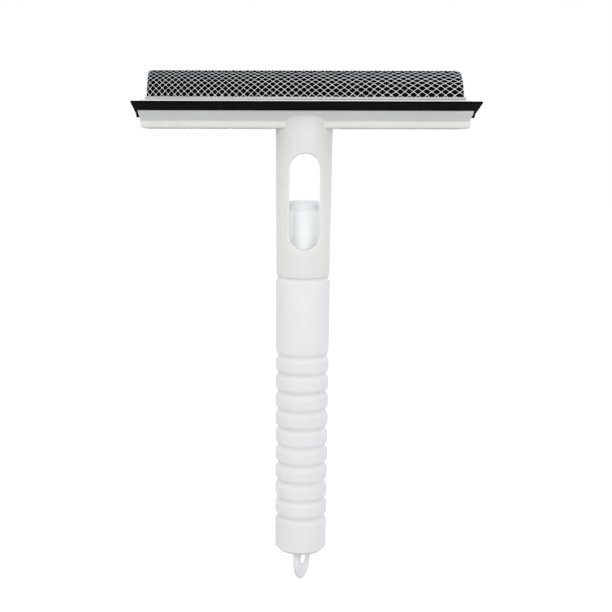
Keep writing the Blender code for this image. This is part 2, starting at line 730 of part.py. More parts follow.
def make_housing(material):
    """Pump cylinder with its flange, the ball's seat and the socket of the dip tube."""
    tail_z = flange_z - HOUSING_DEPTH
    cage_radius = BALL_RADIUS + RUNNING_GAP
    seat_z = ledge_z - CAGE_HEIGHT + cage_radius - VALVE_BORE
    housing = turned("pump_housing", [
        (HOUSING_BORE, flange_top_z),
        (GASKET_RADIUS, flange_top_z),
        (GASKET_RADIUS, flange_z),
        (HOUSING_RADIUS, flange_z),
        (HOUSING_RADIUS, tail_z + TAIL_RADIUS / 2),
        (TAIL_RADIUS, tail_z),
        (TAIL_RADIUS, tail_z - TAIL_LENGTH),
        (tube_socket, tail_z - TAIL_LENGTH),
        (tube_socket, tail_z + FIT_GAP),
        (VALVE_BORE, tail_z + FIT_GAP),
        (VALVE_BORE, seat_z - cage_radius + VALVE_BORE),
        (cage_radius, seat_z),
        (cage_radius, ledge_z),
        (HOUSING_BORE, ledge_z),
    ], ROUND_MEDIUM, True)
    return finish(housing, material)


def make_ball(material):
    """Inlet ball, resting on the conical seat of the housing."""
    cage_radius = BALL_RADIUS + RUNNING_GAP
    seat_z = ledge_z - CAGE_HEIGHT + cage_radius - VALVE_BORE
    rest_z = seat_z - cage_radius + (BALL_RADIUS + FIT_GAP) * math.sqrt(2)
    mesh = bpy.data.meshes.new("inlet_ball")
    work = bmesh.new()
    bmesh.ops.create_uvsphere(work, u_segments=ROUND_SMALL, v_segments=8, radius=BALL_RADIUS)
    work.to_mesh(mesh)
    work.free()
    ball = add("inlet_ball", mesh, squeegee)
    ball.location = (0.0, 0.0, rest_z)
    return finish(ball, material, 60)


def make_spring(material):
    """Return spring between the housing's ledge and the stem's flange."""
    low = ledge_z + FIT_GAP + SPRING_WIRE / 2
    high = stem_flange_z - FIT_GAP - SPRING_WIRE / 2
    radius = HOUSING_BORE - RUNNING_GAP - SPRING_WIRE
    count = SPRING_TURNS * SPRING_POINTS
    curve = bpy.data.curves.new("pump_spring", "CURVE")
    curve.dimensions = "3D"
    curve.bevel_depth = SPRING_WIRE / 2
    curve.bevel_resolution = 1
    curve.use_fill_caps = True
    coil = curve.splines.new("POLY")
    coil.points.add(count)
    for step, point in enumerate(coil.points):
        turn = 2 * math.pi * step / SPRING_POINTS
        z = low + (high - low) * step / count
        point.co = (radius * math.cos(turn), radius * math.sin(turn), z, 1.0)
    points = [Vector(point.co[:3]) for point in coil.points]
    apart = SPRING_POINTS // 2
    nearest = min((b - a).length for i, a in enumerate(points) for b in points[i + apart:])
    print("least gap between the spring's turns, mm:", round((nearest - SPRING_WIRE) * 1000, 3))
    return finish(curve_to_mesh(add("pump_spring", curve, squeegee)), material, 60)


def make_piston(material):
    top = piston_z + PISTON_LENGTH
    lip = PISTON_LENGTH / 5
    piston = turned("pump_piston", [
        (sliding_radius, top),
        (sliding_radius, top - lip),
        (sliding_radius - FIT_GAP, top - 2 * lip),
        (sliding_radius - FIT_GAP, piston_z + 2 * lip),
        (sliding_radius, piston_z + lip),
        (sliding_radius, piston_z),
        (stem_socket, piston_z),
        (stem_socket, top),
    ], ROUND_SMALL, True)
    return finish(piston, material)


def make_stem(material):
    """Hollow stem: its flange takes the spring and pushes the piston, its top carries the actuator."""
    top = actuator_z + ACTUATOR_SOCKET - FIT_GAP
    stem = turned("pump_stem", [
        (0.0, stem_flange_z + STEM_FLANGE),
        (STEM_BORE, stem_flange_z + STEM_FLANGE),
        (STEM_BORE, top),
        (STEM_RADIUS, top),
        (STEM_RADIUS, stem_flange_z + STEM_FLANGE),
        (sliding_radius, stem_flange_z + STEM_FLANGE),
        (sliding_radius, stem_flange_z),
        (STEM_RADIUS, stem_flange_z),
        (STEM_RADIUS, stem_flange_z - STEM_FOOT),
        (0.0, stem_flange_z - STEM_FOOT),
    ], ROUND_SMALL)
    return finish(stem, material)


def make_housing_ring(material):
    """Ring that closes the pump cylinder round the stem, clamped under the collar's web."""
    ring = turned("housing_ring", [
        (RING_FLANGE_RADIUS, ring_z + RING_FLANGE),
        (RING_FLANGE_RADIUS, ring_z),
        (sliding_radius, ring_z),
        (sliding_radius, ring_foot_z),
        (stem_socket + RUNNING_GAP, ring_foot_z),
        (stem_socket + RUNNING_GAP, ring_z + RING_FLANGE),
    ], ROUND_SMALL, True)
    return finish(ring, material)


def make_actuator(material):
    """Finger button with a dished top and a socket for the stem."""
    radius = ACTUATOR_RADIUS
    inside = radius - ACTUATOR_WALL
    post = stem_socket + ACTUATOR_POST_WALL
    socket_z = actuator_z + ACTUATOR_SOCKET
    skirt_z = socket_z + ACTUATOR_POST_WALL
    post_z = actuator_z + ACTUATOR_POST_WALL
    actuator = turned("actuator", [
        (0.0, actuator_top_z - ACTUATOR_DISH),
        (radius - 2 * ACTUATOR_DISH, actuator_top_z - ACTUATOR_DISH / 2),
        (radius - ACTUATOR_DISH, actuator_top_z),
        (radius - ACTUATOR_DISH / 3, actuator_top_z - ACTUATOR_DISH / 3),
        (radius, actuator_top_z - ACTUATOR_DISH),
        (radius, actuator_z),
        (inside, actuator_z),
        (inside, skirt_z),
        (post, skirt_z),
        (post, post_z),
        (stem_socket, post_z),
        (stem_socket, socket_z),
        (0.0, socket_z),
    ], ROUND_MEDIUM)
    hole_radius = NOZZLE_RADIUS + FIT_GAP
    hole_end = -radius + FIT_GAP + NOZZLE_LENGTH + FIT_GAP
    hole = cylinder_along_y("nozzle_hole", hole_radius, -2 * radius, hole_end, actuator_top_z - NOZZLE_DROP)
    cut(actuator, hole)
    return finish(actuator, material)


def cylinder_along_y(name, radius, start, end, z):
    mesh = bpy.data.meshes.new(name)
    work = bmesh.new()
    bmesh.ops.create_cone(work, cap_ends=True, segments=ROUND_SMALL, radius1=radius, radius2=radius,
                          depth=end - start)
    bmesh.ops.rotate(work, verts=work.verts, matrix=Matrix.Rotation(math.radians(90), 3, "X"))
    work.to_mesh(mesh)
    work.free()
    piece = add(name, mesh, squeegee)
    piece.location = (0.0, (start + end) / 2, z)
    return piece


def make_nozzle(material):
    """Insert with the spray orifice, pressed into the front of the actuator."""
    front = -ACTUATOR_RADIUS + FIT_GAP
    z = actuator_top_z - NOZZLE_DROP
    nozzle = cylinder_along_y("nozzle_insert", NOZZLE_RADIUS, front, front + NOZZLE_LENGTH, z)
    cut(nozzle, cylinder_along_y("orifice", NOZZLE_ORIFICE, front - FIT_GAP, front + NOZZLE_LENGTH / 2, z))
    return finish(nozzle, material)


def make_overcap(material):
    """Frosted cap over the actuator, pushed on the seat of the collar."""
    top = cap_z + CAP_HEIGHT
    roof = top - CAP_ROOF
    top_radius = COLLAR_RADIUS - CAP_DRAFT
    inside_top = cap_bore - CAP_DRAFT
    profile = [(0.0, roof), (inside_top - CAP_FILLET, roof), (inside_top, roof - CAP_FILLET), (cap_bore, cap_z),
               (COLLAR_RADIUS, cap_z)]
    profile += arc((top_radius - CAP_FILLET, top - CAP_FILLET), (CAP_FILLET, CAP_FILLET), 0, 90, 4)
    profile.append((0.0, top))
    profile.reverse()
    return finish(turned("overcap", profile, ROUND_CAP), material)


def make_dip_tube(material):
    """Straight tube from the pump's tail down to just above the bottle's floor."""
    top = flange_z - HOUSING_DEPTH
    low = base_z + BASE_WALL + TUBE_BOTTOM_GAP
    bore = TUBE_RADIUS - TUBE_WALL
    tube = turned("dip_tube", [
        (TUBE_RADIUS, top), (TUBE_RADIUS, low), (bore, low), (bore, top),
    ], ROUND_SMALL, True)
    return finish(tube, material)


abs_plastic = new_material("white_abs", WHITE_ABS, 0.35)
bottle_plastic = new_material("white_polyethylene", WHITE_PE, 0.40)
cap_plastic = new_material("frosted_polypropylene", FROSTED_PP, 0.45, alpha=0.6)
pump_plastic = new_material("white_pump_plastic", WHITE_PE, 0.35)
rubber = new_material("black_rubber", BLACK_RUBBER, 0.50)
foam = new_material("black_foam", BLACK_FOAM, 0.95)
net_yarn = new_material("white_net", WHITE_ABS, 0.80)
steel = new_material("stainless_steel", STEEL, 0.25, metallic=1.0)
seal = new_material("grey_seal", SOFT_GREY, 0.60)

make_head_frame(abs_plastic)
make_blade(rubber)
make_plate(abs_plastic)
make_sponge(foam)
make_net(net_yarn)
make_bottle(bottle_plastic)
make_collar(pump_plastic)
make_gasket(seal)
make_housing(pump_plastic)
make_ball(steel)
make_spring(steel)
make_piston(seal)
make_stem(pump_plastic)
make_housing_ring(pump_plastic)
make_actuator(pump_plastic)
make_nozzle(pump_plastic)
make_overcap(cap_plastic)
make_dip_tube(cap_plastic)
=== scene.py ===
"""Looks of a window squeegee: a rubber blade and a net-covered sponge roll on a white bar, with a
screw-on spray bottle as the handle. Metres, in the frame of the CAD model."""
import math

import bmesh
import bpy
import numpy as np
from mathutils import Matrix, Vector, noise


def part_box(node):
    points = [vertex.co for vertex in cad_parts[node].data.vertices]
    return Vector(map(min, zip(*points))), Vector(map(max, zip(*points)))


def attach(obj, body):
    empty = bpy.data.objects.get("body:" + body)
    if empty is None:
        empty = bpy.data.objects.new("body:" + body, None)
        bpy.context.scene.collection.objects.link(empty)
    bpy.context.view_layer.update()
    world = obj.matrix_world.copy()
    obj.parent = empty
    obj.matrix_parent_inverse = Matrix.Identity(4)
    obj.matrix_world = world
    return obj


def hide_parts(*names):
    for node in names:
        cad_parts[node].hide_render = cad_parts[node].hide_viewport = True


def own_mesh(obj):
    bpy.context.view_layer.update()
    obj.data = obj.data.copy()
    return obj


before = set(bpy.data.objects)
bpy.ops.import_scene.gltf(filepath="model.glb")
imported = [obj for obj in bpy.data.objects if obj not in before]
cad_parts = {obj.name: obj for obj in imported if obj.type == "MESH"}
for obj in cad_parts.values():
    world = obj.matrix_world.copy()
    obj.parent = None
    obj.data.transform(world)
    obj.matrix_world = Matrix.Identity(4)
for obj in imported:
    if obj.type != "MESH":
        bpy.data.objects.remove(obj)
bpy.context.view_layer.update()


# Head frame
# One white ABS moulding: the bar with the keyhole channel for the blade, the sloping tray for the
# sponge, and the windowed sleeve that the handle screws into. The hollows under the bar save plastic.
FIT_GAP = 0.0003                # between two pieces that seat on each other
SLEEVE_LENGTH = 0.0925          # mouth to the bar's underside
SLEEVE_MOUTH_RADIUS = 0.0169
SLEEVE_TOP_RADIUS = 0.0177
SLEEVE_BORE_RADIUS = 0.0150
SLEEVE_TAPER_DEPTH = 0.0010     # by which the sleeve narrows at its mouth
SLEEVE_TAPER_HEIGHT = 0.0024
SLEEVE_TAPER_TURN = 42          # degrees by which it has turned inwards at the mouth
SLEEVE_ROOF = 0.0024            # bore's closed end below the bar's underside
SLEEVE_RISE = 0.0084            # how far the sleeve runs up into the bar
SLEEVE_CROWN = 0.0034           # radius of the sleeve's rounded upper end
SLEEVE_SEGMENTS = 160
WINDOW_RISE = 0.0182            # mouth to the window's lower end
WINDOW_LENGTH = 0.0591
WINDOW_WIDTH = 0.0187
WINDOW_ROUND = 0.0012           # radius of the window's rim
WINDOW_TURN = 58                # degrees by which its rim has turned outwards at the skin
WINDOW_DRAFT = 0.0021           # by which each side of the slot is wider at the back
WINDOW_STEPS = 24               # in each of its round ends
BAR_LENGTH = 0.2010
BAR_ROUND = 0.0005              # at most corners of the cross-section
BAR_END_ROUND = 0.00038         # less than the least round of the cross-section
BAR_END_SLOPE = 0.13            # the ends lean outwards from the bead up to the lips
BAR_CORNER_ROUND = 0.0016       # at the lower ends of the bead
BAR_RINGS = 46                  # along the bar, so that long faces shade evenly
BEAD_HEIGHT = 0.0042
BEAD_REACH = 0.0131             # handle axis to the front of the bead
BEAD_ROUND = 0.0011
BEAD_BULGE = 0.00015            # its front is slightly crowned
BEAD_CROWN_ROUND = 0.0030
FACE_RISE = 0.0053              # height of the sloping face above the bead
FACE_FOOT_ROUND = 0.0016
FACE_TOP_ROUND = 0.0004
MOUTH_REACH = 0.0180            # handle axis to the mouth of the blade channel
MOUTH_HEIGHT = 0.0117           # bar's underside to that mouth
LIP_WALL = 0.0015
LIP_ROUND = 0.0002
LIP_TURN = 80                   # degrees by which each lip has turned outwards
CHANNEL_GAP = 0.0001            # the rubber is squeezed into its channel
BLADE_PITCH = math.radians(17.5)    # rise of the blade above level
BLADE_THICKNESS = 0.0020
BULB_RADIUS = 0.0024
BULB_DEPTH = 0.0094             # mouth to the middle of the bulb
TRAY_PITCH = math.radians(24)       # backward slope of the tray
TRAY_RIM_REACH = 0.0135
TRAY_RIM_HEIGHT = 0.0173
TRAY_DEPTH = 0.0380             # front rim to rear flange, along the slope
TRAY_WALL = 0.0020
TRAY_END_ROUND = 0.0033
TRAY_END_HALF = 0.1016          # half length of the bar below that round
RIM_SETBACK = 0.0008
RIM_DROP = 0.0012
FLANGE_WALL = 0.0016
FLANGE_HEIGHT = 0.0018
POCKET_COUNT = 3                # hollows on each side of the sleeve
POCKET_REAR_WALL = 0.0060
FIRST_RIB_WALL = 0.0027         # between the sleeve and the first hollow
RIB_WALL = 0.0018
END_WALL = 0.0018
BEAD_WALL = 0.0021
CLIP_WIDTH = 0.0070
CLIP_WALL = 0.0014
CLIP_BARB = 0.0008
SLOT_ROUND = 0.0001             # at the ends of the slots for the clips
EDGE_EASE = 0.0011              # radius to which the skin melts over an edge below the lips
LIP_EASE = 0.0001               # and at the lips, which are crisp
LIP_EASE_LOW = 0.0014           # one passes into the other between these depths below the lips
LIP_EASE_HIGH = 0.0007
CRISP_LOW = 0.0040              # the sleeve is crisp up to here above its mouth
CRISP_HIGH = 0.0090             # and has its full ease from here
TAPER_EVEN = 0.75               # how far light soaking through evens out the shade of the taper
TAPER_EVEN_LOW = 0.0020         # it does so up to here above the mouth
TAPER_EVEN_HIGH = 0.0036        # and not at all from here

mouth_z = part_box("head_frame")[0].z
bar_z = mouth_z + SLEEVE_LENGTH
window_z = mouth_z + WINDOW_RISE


def new_piece(name, work):
    """A bmesh as a new object, with its faces turned outwards."""
    bmesh.ops.recalc_face_normals(work, faces=work.faces)
    mesh = bpy.data.meshes.new(name)
    work.to_mesh(mesh)
    work.free()
    piece = bpy.data.objects.new(name, mesh)
    bpy.context.scene.collection.objects.link(piece)
    return piece


def arc(centre, radii, start, end, steps):
    """Points on an ellipse, angles in degrees."""
    angles = [math.radians(start + (end - start) * step / steps) for step in range(steps + 1)]
    return [(centre[0] + radii[0] * math.cos(a), centre[1] + radii[1] * math.sin(a)) for a in angles]


def rounded(corners, steps=6):
    """A closed outline from corners of (y, z, radius), each rounded by an arc."""
    outline = []
    for index, (y, z, radius) in enumerate(corners):
        corner = Vector((y, z))
        back = Vector(corners[index - 1][:2]) - corner
        ahead = Vector(corners[(index + 1) % len(corners)][:2]) - corner
        half = back.angle(ahead) / 2
        if radius == 0 or half > math.radians(88):
            outline.append((y, z))
            continue
        reach = min(radius / math.tan(half), 0.49 * back.length, 0.49 * ahead.length)
        radius = reach * math.tan(half)
        middle = corner + (back.normalized() + ahead.normalized()).normalized() * radius / math.sin(half)
        first = corner + back.normalized() * reach - middle
        last = corner + ahead.normalized() * reach - middle
        start = math.degrees(math.atan2(first.y, first.x))
        sweep = math.degrees(math.atan2(first.cross(last), first.dot(last)))
        outline += arc(middle, (radius, radius), start, start + sweep, steps)
    return outline


def inset(outline, distance):
    """The closed outline moved inwards by a distance."""
    points = np.array(outline)
    ahead = np.roll(points, -1, axis=0) - points
    ahead /= np.linalg.norm(ahead, axis=1)[:, None]
    area = np.cross(points, np.roll(points, -1, axis=0)).sum() / 2
    normal = np.stack([-ahead[:, 1], ahead[:, 0]], axis=1) * np.sign(area)
    both = normal + np.roll(normal, 1, axis=0)
    length = np.maximum((both ** 2).sum(axis=1), 0.5)[:, None]
    return points + 2 * distance * both / length


def bridge(work, rings):
    """Faces between each ring of corners and the next one."""
    for near, far in zip(rings, rings[1:]):
        for index in range(len(near)):
            work.faces.new((near[index - 1], near[index], far[index], far[index - 1]))


def long_bar(name, outline, low, high, end_round, steps=4, rings_between=0, along_y=False):
    """A cross-section in (y, z) run along x, or one in (x, z) along y, with rounded end edges."""
    quarter = [math.pi / 2 * step / steps for step in range(steps + 1)] if steps else [math.pi / 2]
    ends = [(end_round * (1 - math.sin(a)), end_round * (1 - math.cos(a))) for a in quarter]
    places = [(low + rise, depth) for depth, rise in ends]
    plain = high - low - 2 * end_round
    for step in range(rings_between):
        places.append((low + end_round + plain * (step + 1) / (rings_between + 1), 0))
    places += [(high - rise, depth) for depth, rise in reversed(ends)]
    work = bmesh.new()
    rings = []
    for run, depth in places:
        corners = [(u, run, z) if along_y else (run, u, z) for u, z in inset(outline, depth)]
        rings.append([work.verts.new(corner) for corner in corners])
    bridge(work, rings)
    work.faces.new(rings[0])
    work.faces.new(rings[-1])
    return new_piece(name, work)


def turned(name, profile, segments, closed=False):
    """A profile of (radius, z) points turned about the handle axis."""
    work = bmesh.new()
    rings = []
    for radius, z in profile:
        if radius == 0:
            rings.append([work.verts.new((0, 0, z))])
            continue
        angles = [2 * math.pi * index / segments for index in range(segments)]
        rings.append([work.verts.new((radius * math.cos(a), radius * math.sin(a), z)) for a in angles])
    pairs = list(zip(rings, rings[1:]))
    if closed:
        pairs.append((rings[-1], rings[0]))
    for low, high in pairs:
        for index in range(segments):
            corners = (low[index - 1 if len(low) > 1 else 0], low[index % len(low)],
                       high[index % len(high)], high[index - 1 if len(high) > 1 else 0])
            work.faces.new(tuple(dict.fromkeys(corners)))
    return new_piece(name, work)


def shape(piece, operation, tools):
    """Cut or join the tools, which are used up."""
    for tool in tools:
        step = piece.modifiers.new("shape", "BOOLEAN")
        step.operation = operation
        step.solver = "EXACT"
        step.object = tool
    bpy.context.view_layer.update()
    graph = bpy.context.evaluated_depsgraph_get()
    mesh = bpy.data.meshes.new_from_object(piece.evaluated_get(graph))
    piece.modifiers.clear()
    piece.data = mesh
    for tool in tools:
        bpy.data.objects.remove(tool, do_unlink=True)
    return piece


def smooth(piece, angle=38):
    """Smooth shading with sharp edges kept, and long faces leading the normals."""
    piece.data.shade_smooth()
    piece.data.set_sharp_from_angle(angle=math.radians(angle))
    normals = piece.modifiers.new("normals", "WEIGHTED_NORMAL")
    normals.keep_sharp = True
    normals.weight = 80
    return piece


def tray_point(along, above):
    """(y, z) on the sloping tray: back along it from its front rim, and above it."""
    y = -TRAY_RIM_REACH + along * math.cos(TRAY_PITCH) + above * math.sin(TRAY_PITCH)
    z = bar_z + TRAY_RIM_HEIGHT - along * math.sin(TRAY_PITCH) + above * math.cos(TRAY_PITCH)
    return (y, z)


def blade_point(out, above):
    """(y, z) on the blade: out from the middle of its bulb, and above its mid plane."""
    out -= BULB_DEPTH
    y = -MOUTH_REACH - out * math.cos(BLADE_PITCH) + above * math.sin(BLADE_PITCH)
    z = bar_z + MOUTH_HEIGHT + out * math.sin(BLADE_PITCH) + above * math.cos(BLADE_PITCH)
    return (y, z)


def keyhole(clearance, steps):
    """Round bulb outline, open towards the mouth, from its upper neck to its lower neck."""
    radius = BULB_RADIUS + clearance
    neck = math.degrees(math.asin((BLADE_THICKNESS / 2 + clearance) / radius))
    return [blade_point(a, b) for a, b in arc((0, 0), (radius, radius), neck, 360 - neck, steps)]


def bar_outline():
    """Solid cross-section of the bar, from the tray's front rim round by the mouth and the bead."""
    half = BLADE_THICKNESS / 2 + FIT_GAP
    face_top = bar_z + BEAD_HEIGHT + FACE_RISE
    back_y, back_z = tray_point(TRAY_DEPTH + FLANGE_WALL, FLANGE_HEIGHT)
    return rounded([
        (*tray_point(0, 0), BAR_ROUND),
        (*tray_point(-RIM_SETBACK, -RIM_DROP), BAR_ROUND),
        (*blade_point(BULB_DEPTH, half + LIP_WALL), BAR_ROUND),
        (-MOUTH_REACH - LIP_WALL / 4, face_top, FACE_TOP_ROUND),
        (-BEAD_REACH + BEAD_ROUND, bar_z + BEAD_HEIGHT, FACE_FOOT_ROUND),
        (-BEAD_REACH, bar_z + BEAD_HEIGHT, BEAD_ROUND),
        (-BEAD_REACH - BEAD_BULGE, bar_z + BEAD_HEIGHT / 2, BEAD_CROWN_ROUND),
        (-BEAD_REACH, bar_z, BEAD_ROUND),
        (back_y - FLANGE_HEIGHT, bar_z, BAR_ROUND),
        (back_y, back_z, BAR_ROUND),
        (*tray_point(TRAY_DEPTH, FLANGE_HEIGHT), BAR_ROUND),
        (*tray_point(TRAY_DEPTH, 0), BAR_ROUND),
    ])


def channel_tool():
    """The keyhole channel for the blade, whose mouth flares in a round at both lips."""
    half = BLADE_THICKNESS / 2 + CHANNEL_GAP
    flare = []
    for step in range(6):
        turn = math.radians(LIP_TURN * step / 5)
        flare.append((BULB_DEPTH - LIP_ROUND * (1 - math.sin(turn)), half + LIP_ROUND * (1 - math.cos(turn))))
    flare.append((BULB_DEPTH + LIP_WALL, half + LIP_WALL))
    outline = keyhole(CHANNEL_GAP, 32)
    outline += [blade_point(out, -above) for out, above in flare]
    outline += [blade_point(out, above) for out, above in reversed(flare)]
    reach = TRAY_END_HALF + TRAY_WALL
    return long_bar("channel_tool", outline, -reach, reach, 0, 0)


def end_tool(half, radius, side, origin, tilt):
    """What is cut off one end of the bar to round an edge there, for a plane tilted about x."""
    spare = 0.0060
    tangent = 4     # degrees left at both ends of the round, so that it cuts the faces it meets
    outline = arc((half - radius, -radius), (radius, radius), 90 - tangent, tangent, 10)
    slope = spare * math.tan(math.radians(tangent))
    outline.insert(0, (outline[0][0] - spare, outline[0][1] + slope))
    outline.append((outline[-1][0] + slope, outline[-1][1] - spare))
    right_x, right_z = outline[-1]
    outline += [(right_x + spare, right_z), (right_x + spare, spare), (outline[0][0], spare)]
    mirrored = [(side * x, z) for x, z in outline]
    tool = long_bar("end_tool", mirrored, -TRAY_DEPTH, TRAY_DEPTH, 0, 0, along_y=True)
    for vertex in tool.data.vertices:
        vertex.co.yz = (origin[0] + vertex.co.y * math.cos(tilt) - vertex.co.z * math.sin(tilt),
                        origin[1] + vertex.co.y * math.sin(tilt) + vertex.co.z * math.cos(tilt))
    return tool


def pocket_outline():
    """A hollow behind the bead and the channel, below the tray."""
    bulb_y, bulb_z = blade_point(0, 0)
    shell = BULB_RADIUS + FIT_GAP + LIP_WALL
    front = -BEAD_REACH + BEAD_WALL
    rear_y, rear_z = tray_point(TRAY_DEPTH - POCKET_REAR_WALL, -TRAY_WALL)
    along = (bulb_y + shell + TRAY_RIM_REACH + TRAY_WALL * math.sin(TRAY_PITCH)) / math.cos(TRAY_PITCH)
    below = bar_z - TRAY_WALL
    outline = [(front, below), (front, bulb_z - shell)]
    outline += arc((bulb_y, bulb_z), (shell, shell), -90, 0, 8)
    return outline + [tray_point(along, -TRAY_WALL), (rear_y, rear_z), (rear_y, below)]


def pocket_places():
    """Middle and width of each hollow on the right of the sleeve."""
    inner = SLEEVE_TOP_RADIUS + FIRST_RIB_WALL
    width = (BAR_LENGTH / 2 - END_WALL - inner - (POCKET_COUNT - 1) * RIB_WALL) / POCKET_COUNT
    return [(inner + width / 2 + index * (width + RIB_WALL), width) for index in range(POCKET_COUNT)]


def clip_places():
    """The plate's clips stand over the first and the last hollow of each side."""
    places = pocket_places()
    return [side * places[index][0] for side in (-1, 1) for index in (0, -1)]


def window_tool():
    """A slot through both walls of the sleeve, wider at the back, whose rim flares in a round."""
    radius = WINDOW_WIDTH / 2
    top = window_z + WINDOW_LENGTH - radius
    low = window_z + radius
    rim = arc((0, top), (1, 1), 0, 180, WINDOW_STEPS) + arc((0, low), (1, 1), 180, 360, WINDOW_STEPS)
    middles = [top] * (WINDOW_STEPS + 1) + [low] * (WINDOW_STEPS + 1)
    turns = [math.radians(WINDOW_TURN * step / 5) for step in range(6)]
    flare = [(WINDOW_ROUND * (1 - math.cos(a)), WINDOW_ROUND * (1 - math.sin(a))) for a in turns]
    lead = 0.0010   # on through the skin in the same direction
    flare.append((flare[-1][0] + lead * math.sin(turns[-1]), flare[-1][1] - lead * math.cos(turns[-1])))
    work = bmesh.new()
    rings = []
    for side, wider in ((-1, 0), (1, WINDOW_DRAFT)):
        loops = []
        for outward, depth in flare:
            loop = []
            for (across, up), middle in zip(rim, middles):
                x = across * (radius + wider + outward)
                z = middle + (up - middle) * (radius + outward)
                share = (z - mouth_z) / SLEEVE_LENGTH
                skin = SLEEVE_MOUTH_RADIUS + share * (SLEEVE_TOP_RADIUS - SLEEVE_MOUTH_RADIUS)
                loop.append(work.verts.new((x, side * (math.sqrt(skin ** 2 - x ** 2) - depth), z)))
            loops.append(loop)
        outside = side * 2 * SLEEVE_TOP_RADIUS
        loops.append([work.verts.new((vertex.co.x, outside, vertex.co.z)) for vertex in loops[-1]])
        rings += loops if side > 0 else loops[::-1]
    bridge(work, rings)
    work.faces.new(rings[0])
    work.faces.new(rings[-1])
    bmesh.ops.triangulate(work, faces=work.faces[:])
    return new_piece("window_tool", work)


def make_sleeve():
    """The tapering sleeve with a rounded crown, with the window through it and no bore yet."""
    crown_z = bar_z + SLEEVE_RISE - SLEEVE_CROWN
    profile = [(0, bar_z + SLEEVE_RISE)]
    profile += arc((SLEEVE_TOP_RADIUS - SLEEVE_CROWN, crown_z), (SLEEVE_CROWN, SLEEVE_CROWN), 90, 0, 10)
    profile += [(SLEEVE_TOP_RADIUS, bar_z)]
    turn = math.radians(SLEEVE_TAPER_TURN)
    taper = (SLEEVE_TAPER_DEPTH / (1 - math.cos(turn)), SLEEVE_TAPER_HEIGHT / math.sin(turn))
    taper_middle = (SLEEVE_MOUTH_RADIUS - taper[0], mouth_z + SLEEVE_TAPER_HEIGHT)
    profile += arc(taper_middle, taper, 0, -SLEEVE_TAPER_TURN, 10)
    profile += [(0, mouth_z)]
    sleeve = turned("sleeve_tool", profile, SLEEVE_SEGMENTS)
    return shape(sleeve, "DIFFERENCE", [window_tool()])


def make_head():
    """The bar and the sleeve in one, with everything that is cut out of both. The bore comes last."""
    head = long_bar("head_moulding", bar_outline(), -BAR_LENGTH / 2, BAR_LENGTH / 2, BAR_END_ROUND,
                    rings_between=BAR_RINGS)
    end_x = BAR_LENGTH / 2 - BAR_END_ROUND
    for vertex in head.data.vertices:
        if abs(vertex.co.x) > end_x - BAR_END_ROUND / 4:
            lean = BAR_END_SLOPE * (vertex.co.z - bar_z - BAR_CORNER_ROUND)
            vertex.co.x += math.copysign(1, vertex.co.x) * lean
    shape(head, "UNION", [make_sleeve()])
    bore = turned("bore_tool", [
        (0, bar_z - SLEEVE_ROOF),
        (SLEEVE_BORE_RADIUS - SLEEVE_ROOF, bar_z - SLEEVE_ROOF),
        (SLEEVE_BORE_RADIUS, bar_z - 2 * SLEEVE_ROOF),
        (SLEEVE_BORE_RADIUS, mouth_z + FIT_GAP),
        (SLEEVE_BORE_RADIUS + FIT_GAP, mouth_z - FIT_GAP),
        (0, mouth_z - FIT_GAP),
    ], SLEEVE_SEGMENTS)
    above = [tray_point(0, 0), tray_point(TRAY_DEPTH, 0), tray_point(TRAY_DEPTH, TRAY_DEPTH / 2),
             tray_point(0, TRAY_DEPTH / 2)]
    tools = [long_bar("tray_tool", above, -SLEEVE_TOP_RADIUS, SLEEVE_TOP_RADIUS, FIT_GAP, 1), channel_tool()]
    tray_middle = tray_point(TRAY_DEPTH / 2, 0)
    for side in (-1, 1):
        tools.append(end_tool(TRAY_END_HALF, TRAY_END_ROUND, side, tray_middle, -TRAY_PITCH))
        tools.append(end_tool(BAR_LENGTH / 2, BAR_CORNER_ROUND, side, (0, bar_z), math.pi))
    for middle, width in pocket_places():
        for side in (-1, 1):
            low = side * middle - width / 2
            tools.append(long_bar("pocket_tool", pocket_outline(), low, low + width, FIT_GAP, 2))
    slot_low = TRAY_DEPTH / 2 - CLIP_WALL / 2 - FIT_GAP
    slot_high = TRAY_DEPTH / 2 + CLIP_WALL / 2 + CLIP_BARB + FIT_GAP
    slot_outline = [tray_point(slot_low, FIT_GAP), tray_point(slot_high, FIT_GAP),
                    tray_point(slot_high, -TRAY_WALL - FIT_GAP), tray_point(slot_low, -TRAY_WALL - FIT_GAP)]
    for x in clip_places():
        reach = CLIP_WIDTH / 2 + FIT_GAP
        tools.append(long_bar("slot_tool", slot_outline, x - reach, x + reach, SLOT_ROUND, 1))
    shape(head, "DIFFERENCE", tools + [bore])
    return smooth(head)


def add_node(tree, kind, inputs=None, **settings):
    """A shader node with its settings, and the values or links of its inputs."""
    made = tree.nodes.new(kind)
    for key, value in settings.items():
        setattr(made, key, value)
    for key, value in (inputs or {}).items():
        if isinstance(value, bpy.types.NodeSocket):
            tree.links.new(value, made.inputs[key])
        else:
            made.inputs[key].default_value = value
    return made


def ramp(tree, value, start, end, low=0.0, high=1.0):
    """A value that runs from low to high while another one runs from start to end."""
    made = add_node(tree, "ShaderNodeMapRange", {"Value": value, "From Min": start, "From Max": end,
                                                 "To Min": low, "To Max": high})
    return made.outputs[0]


def reckoned(tree, operation, *values, **settings):
    """The result of a Math node."""
    made = add_node(tree, "ShaderNodeMath", dict(enumerate(values)), operation=operation, **settings)
    return made.outputs[0]


def mixed_value(tree, share, first, second):
    """A value that lies a share of the way from the first to the second."""
    return add_node(tree, "ShaderNodeMix", {0: share, 2: first, 3: second}).outputs[0]


def mixed_colour(tree, share, first, second):
    """A colour that lies a share of the way from the first to the second."""
    return add_node(tree, "ShaderNodeMix", {0: share, 6: first, 7: second}, data_type="RGBA").outputs[2]


